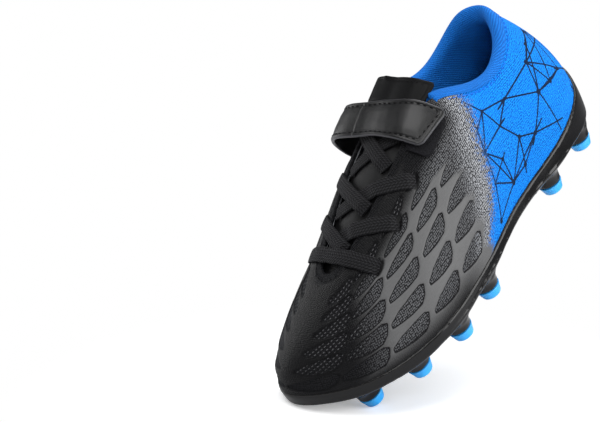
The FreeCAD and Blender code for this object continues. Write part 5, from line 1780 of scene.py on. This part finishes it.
# =============================================================== inside
def build_sockliner():
    n = 220
    s = np.arange(n) * 22.0 / n
    bx, by = outline(s)
    nx, ny = outward(s)
    ex, ey = bx - nx * 4.2, by - ny * 4.2
    mx = np.clip(ex, 17, 190)
    my = medial_line(mx)
    rings, kuv = [], []
    ks = np.concatenate([[0, .012, .03, .06], np.linspace(.1, 1, 12)])
    for k in ks:
        x, y = lerp(ex, mx, k), lerp(ey, my, k)
        dist = np.hypot(mx - ex, my - ey) * k
        z = floor_z(x) + 7.45 + 0.7 * smooth(7, 0.5, dist) - 0.35 * smooth(0.7, 0, dist)
        z = z + 0.8 * np.exp(-((x - 90) / 22) ** 2) * smooth(2, -14, y)
        rings.append(np.stack([x, y, z], -1))
        kuv.append(np.stack([x, y, 0 * x], -1))
    for k in ks[::-1]:
        x, y = lerp(ex, mx, k), lerp(ey, my, k)
        rings.append(np.stack([x, y, floor_z(x) + 6.85], -1))
        kuv.append(np.stack([x, y, 0 * x], -1))
    b = Builder()
    b.tube(np.stack(rings, 1), 0, True, kuv=np.stack(kuv, 1))
    ob = b.make("sockliner_top", [MAT_SOCK])
    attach(ob, "shoe")
    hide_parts("sockliner_cover")


build_sockliner()

CARRY = {
    "toe_puff": MAT_STIFF, "heel_counter": MAT_STIFF, "eyestay_lateral": MAT_STIFF,
    "eyestay_medial": MAT_STIFF, "vamp_lining": MAT_LINING, "forepart_filler": MAT_FOAM,
    "lasting_board": MAT_BOARD, "sockliner_foam": MAT_FOAM,
}
for node, mat in CARRY.items():
    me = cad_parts[node].data
    me.materials.clear()
    me.materials.append(mat)


# =============================================================== camera, light
CAM_C = np.array([311.61130997, 383.2403809, 299.37644145])
CAM_R = np.array([[-0.6271, 0.5518, -0.5497], [0.7041, 0.0999, -0.7030],
                  [-0.3331, -0.8279, -0.4512]])
cam_data = bpy.data.cameras.new("camera")
cam_data.sensor_width = 36.0
cam_data.sensor_fit = "HORIZONTAL"
cam_data.lens = 1049.43 / 600.0 * 36.0
cam_data.clip_start, cam_data.clip_end = 0.01, 20.0
cam = bpy.data.objects.new("camera", cam_data)
bpy.context.scene.collection.objects.link(cam)
R3 = Matrix([list(CAM_R[0]), list(-CAM_R[1]), list(-CAM_R[2])]).transposed()
cam.matrix_world = Matrix.Translation(Vector(to_frame(CAM_C))) @ R3.to_4x4()
bpy.context.scene.camera = cam

right, up_, back_ = CAM_R[0], -CAM_R[1], -CAM_R[2]
right, up_, back_ = unit(right), unit(up_), unit(back_)
tilt = math.radians(12.0)
floor_n = unit(up_ * math.cos(tilt) + back_ * math.sin(tilt))
pts = []
for o_ in (outsole, upper):
    pts.append(get_co(o_))
for nm, x_, y_, z_ in STUDS:
    pts.append(np.array([[x_ + 4.9 * math.cos(a), y_ + 4.9 * math.sin(a), z_ + h]
                         for a in np.linspace(0, 6.28, 24) for h in (0.1, 0.8)]))
pts = np.vstack(pts)
low = float((pts @ floor_n).min())
centre = np.array([107.0, 0.0, 45.0])
floor_c = centre + floor_n * (low - 0.15 - float(centre @ floor_n))


touch = pts[(pts @ floor_n).argmin()]
floor_mid = touch + floor_n * (low - 0.15 - float(touch @ floor_n))


def look(ob, frm, to):
    d = Vector(to) - Vector(frm)
    ob.location = Vector(frm)
    ob.rotation_mode = "QUATERNION"
    ob.rotation_quaternion = d.to_track_quat("-Z", "Y")


def floor_material():
    mat = bpy.data.materials.new("studio_floor")
    mat.use_nodes = True
    t = mat.node_tree
    t.nodes.clear()
    out = t.nodes.new("ShaderNodeOutputMaterial")
    dif = t.nodes.new("ShaderNodeBsdfDiffuse")
    clear = t.nodes.new("ShaderNodeBsdfTransparent")
    geo = t.nodes.new("ShaderNodeNewGeometry")
    path = t.nodes.new("ShaderNodeLightPath")
    mixc = t.nodes.new("ShaderNodeMix")
    mixc.data_type = "RGBA"
    t.links.new(path.outputs["Is Camera Ray"], mixc.inputs[0])
    mixc.inputs[6].default_value = (0.62, 0.62, 0.63, 1)
    mixc.inputs[7].default_value = (1.0, 1.0, 1.0, 1)
    t.links.new(mixc.outputs[2], dif.inputs["Color"])
    em = t.nodes.new("ShaderNodeEmission")
    em.inputs["Color"].default_value = (1, 1, 1, 1)
    em.inputs["Strength"].default_value = 0.32
    emz = t.nodes.new("ShaderNodeMath")
    emz.operation = "MULTIPLY"
    t.links.new(path.outputs["Is Camera Ray"], emz.inputs[0])
    emz.inputs[1].default_value = 0.30
    t.links.new(emz.outputs[0], em.inputs["Strength"])
    addn = t.nodes.new("ShaderNodeAddShader")
    t.links.new(dif.outputs[0], addn.inputs[0])
    t.links.new(em.outputs[0], addn.inputs[1])
    # fades into the white room some way from the boot
    dist = t.nodes.new("ShaderNodeVectorMath")
    dist.operation = "DISTANCE"
    t.links.new(geo.outputs["Position"], dist.inputs[0])
    dist.inputs[1].default_value = tuple(to_frame(floor_mid))
    fade = t.nodes.new("ShaderNodeMapRange")
    fade.interpolation_type = "SMOOTHSTEP"
    t.links.new(dist.outputs["Value"], fade.inputs[0])
    fade.inputs[1].default_value, fade.inputs[2].default_value = 0.05, 0.17
    gate = t.nodes.new("ShaderNodeMath")
    gate.operation = "MULTIPLY"
    t.links.new(fade.outputs[0], gate.inputs[0])
    t.links.new(path.outputs["Is Camera Ray"], gate.inputs[1])
    both = t.nodes.new("ShaderNodeMath")
    both.operation = "MAXIMUM"
    t.links.new(gate.outputs[0], both.inputs[0])
    t.links.new(geo.outputs["Backfacing"], both.inputs[1])
    mix = t.nodes.new("ShaderNodeMixShader")
    t.links.new(both.outputs[0], mix.inputs[0])
    t.links.new(addn.outputs[0], mix.inputs[1])
    t.links.new(clear.outputs[0], mix.inputs[2])
    t.links.new(mix.outputs[0], out.inputs[0])
    return mat


fa = unit(np.cross(floor_n, back_))
fb = unit(np.cross(floor_n, fa))
R_ = 1400.0
fv = np.array([floor_c + fa * sx * R_ + fb * sy * R_
               for sx, sy in ((-1, -1), (1, -1), (1, 1), (-1, 1))])
fquad = np.array([[0, 1, 2, 3]])
if np.cross(fv[1] - fv[0], fv[2] - fv[1]) @ floor_n < 0:
    fquad = fquad[:, ::-1]
floor_ob = new_mesh("studio_floor", fv, [fquad], False, [floor_material()])

world = bpy.data.worlds.new("studio")
bpy.context.scene.world = world
world.use_nodes = True
wt = world.node_tree
wt.nodes.clear()
wout = wt.nodes.new("ShaderNodeOutputWorld")
bg = wt.nodes.new("ShaderNodeBackground")
lp = wt.nodes.new("ShaderNodeLightPath")
wm = wt.nodes.new("ShaderNodeMix")
wm.data_type = "RGBA"
wt.links.new(lp.outputs["Is Camera Ray"], wm.inputs[0])
wm.inputs[6].default_value = (0.24, 0.245, 0.255, 1)
wm.inputs[7].default_value = (1.0, 1.0, 1.0, 1)
wt.links.new(wm.outputs[2], bg.inputs["Color"])
bg.inputs["Strength"].default_value = 1.0
wt.links.new(bg.outputs[0], wout.inputs[0])


def area(name, at, size, power, to=None, colr=(1, 1, 1)):
    """Soft box placed by camera directions: (right, up, towards camera) mm."""
    ld = bpy.data.lights.new(name, "AREA")
    ld.shape = "RECTANGLE"
    ld.size, ld.size_y = size
    ld.energy = power
    ld.color = colr
    ob = bpy.data.objects.new(name, ld)
    bpy.context.scene.collection.objects.link(ob)
    p = centre + right * at[0] + up_ * at[1] + back_ * at[2]
    look(ob, to_frame(p), to_frame(centre if to is None else to))
    return ob


area("key", (-260, 520, 420), (0.40, 0.40), 2.7)
area("side", (520, 120, 300), (0.5, 0.5), 3.4)
area("fill", (60, 260, 760), (0.5, 0.4), 1.5)
area("rim", (-420, 160, -200), (0.25, 0.5), 0.8)
area("top", (160, 620, -20), (0.6, 0.4), 2.4)

bpy.context.scene.view_settings.view_transform = "Standard"
bpy.context.scene.view_settings.look = "None"
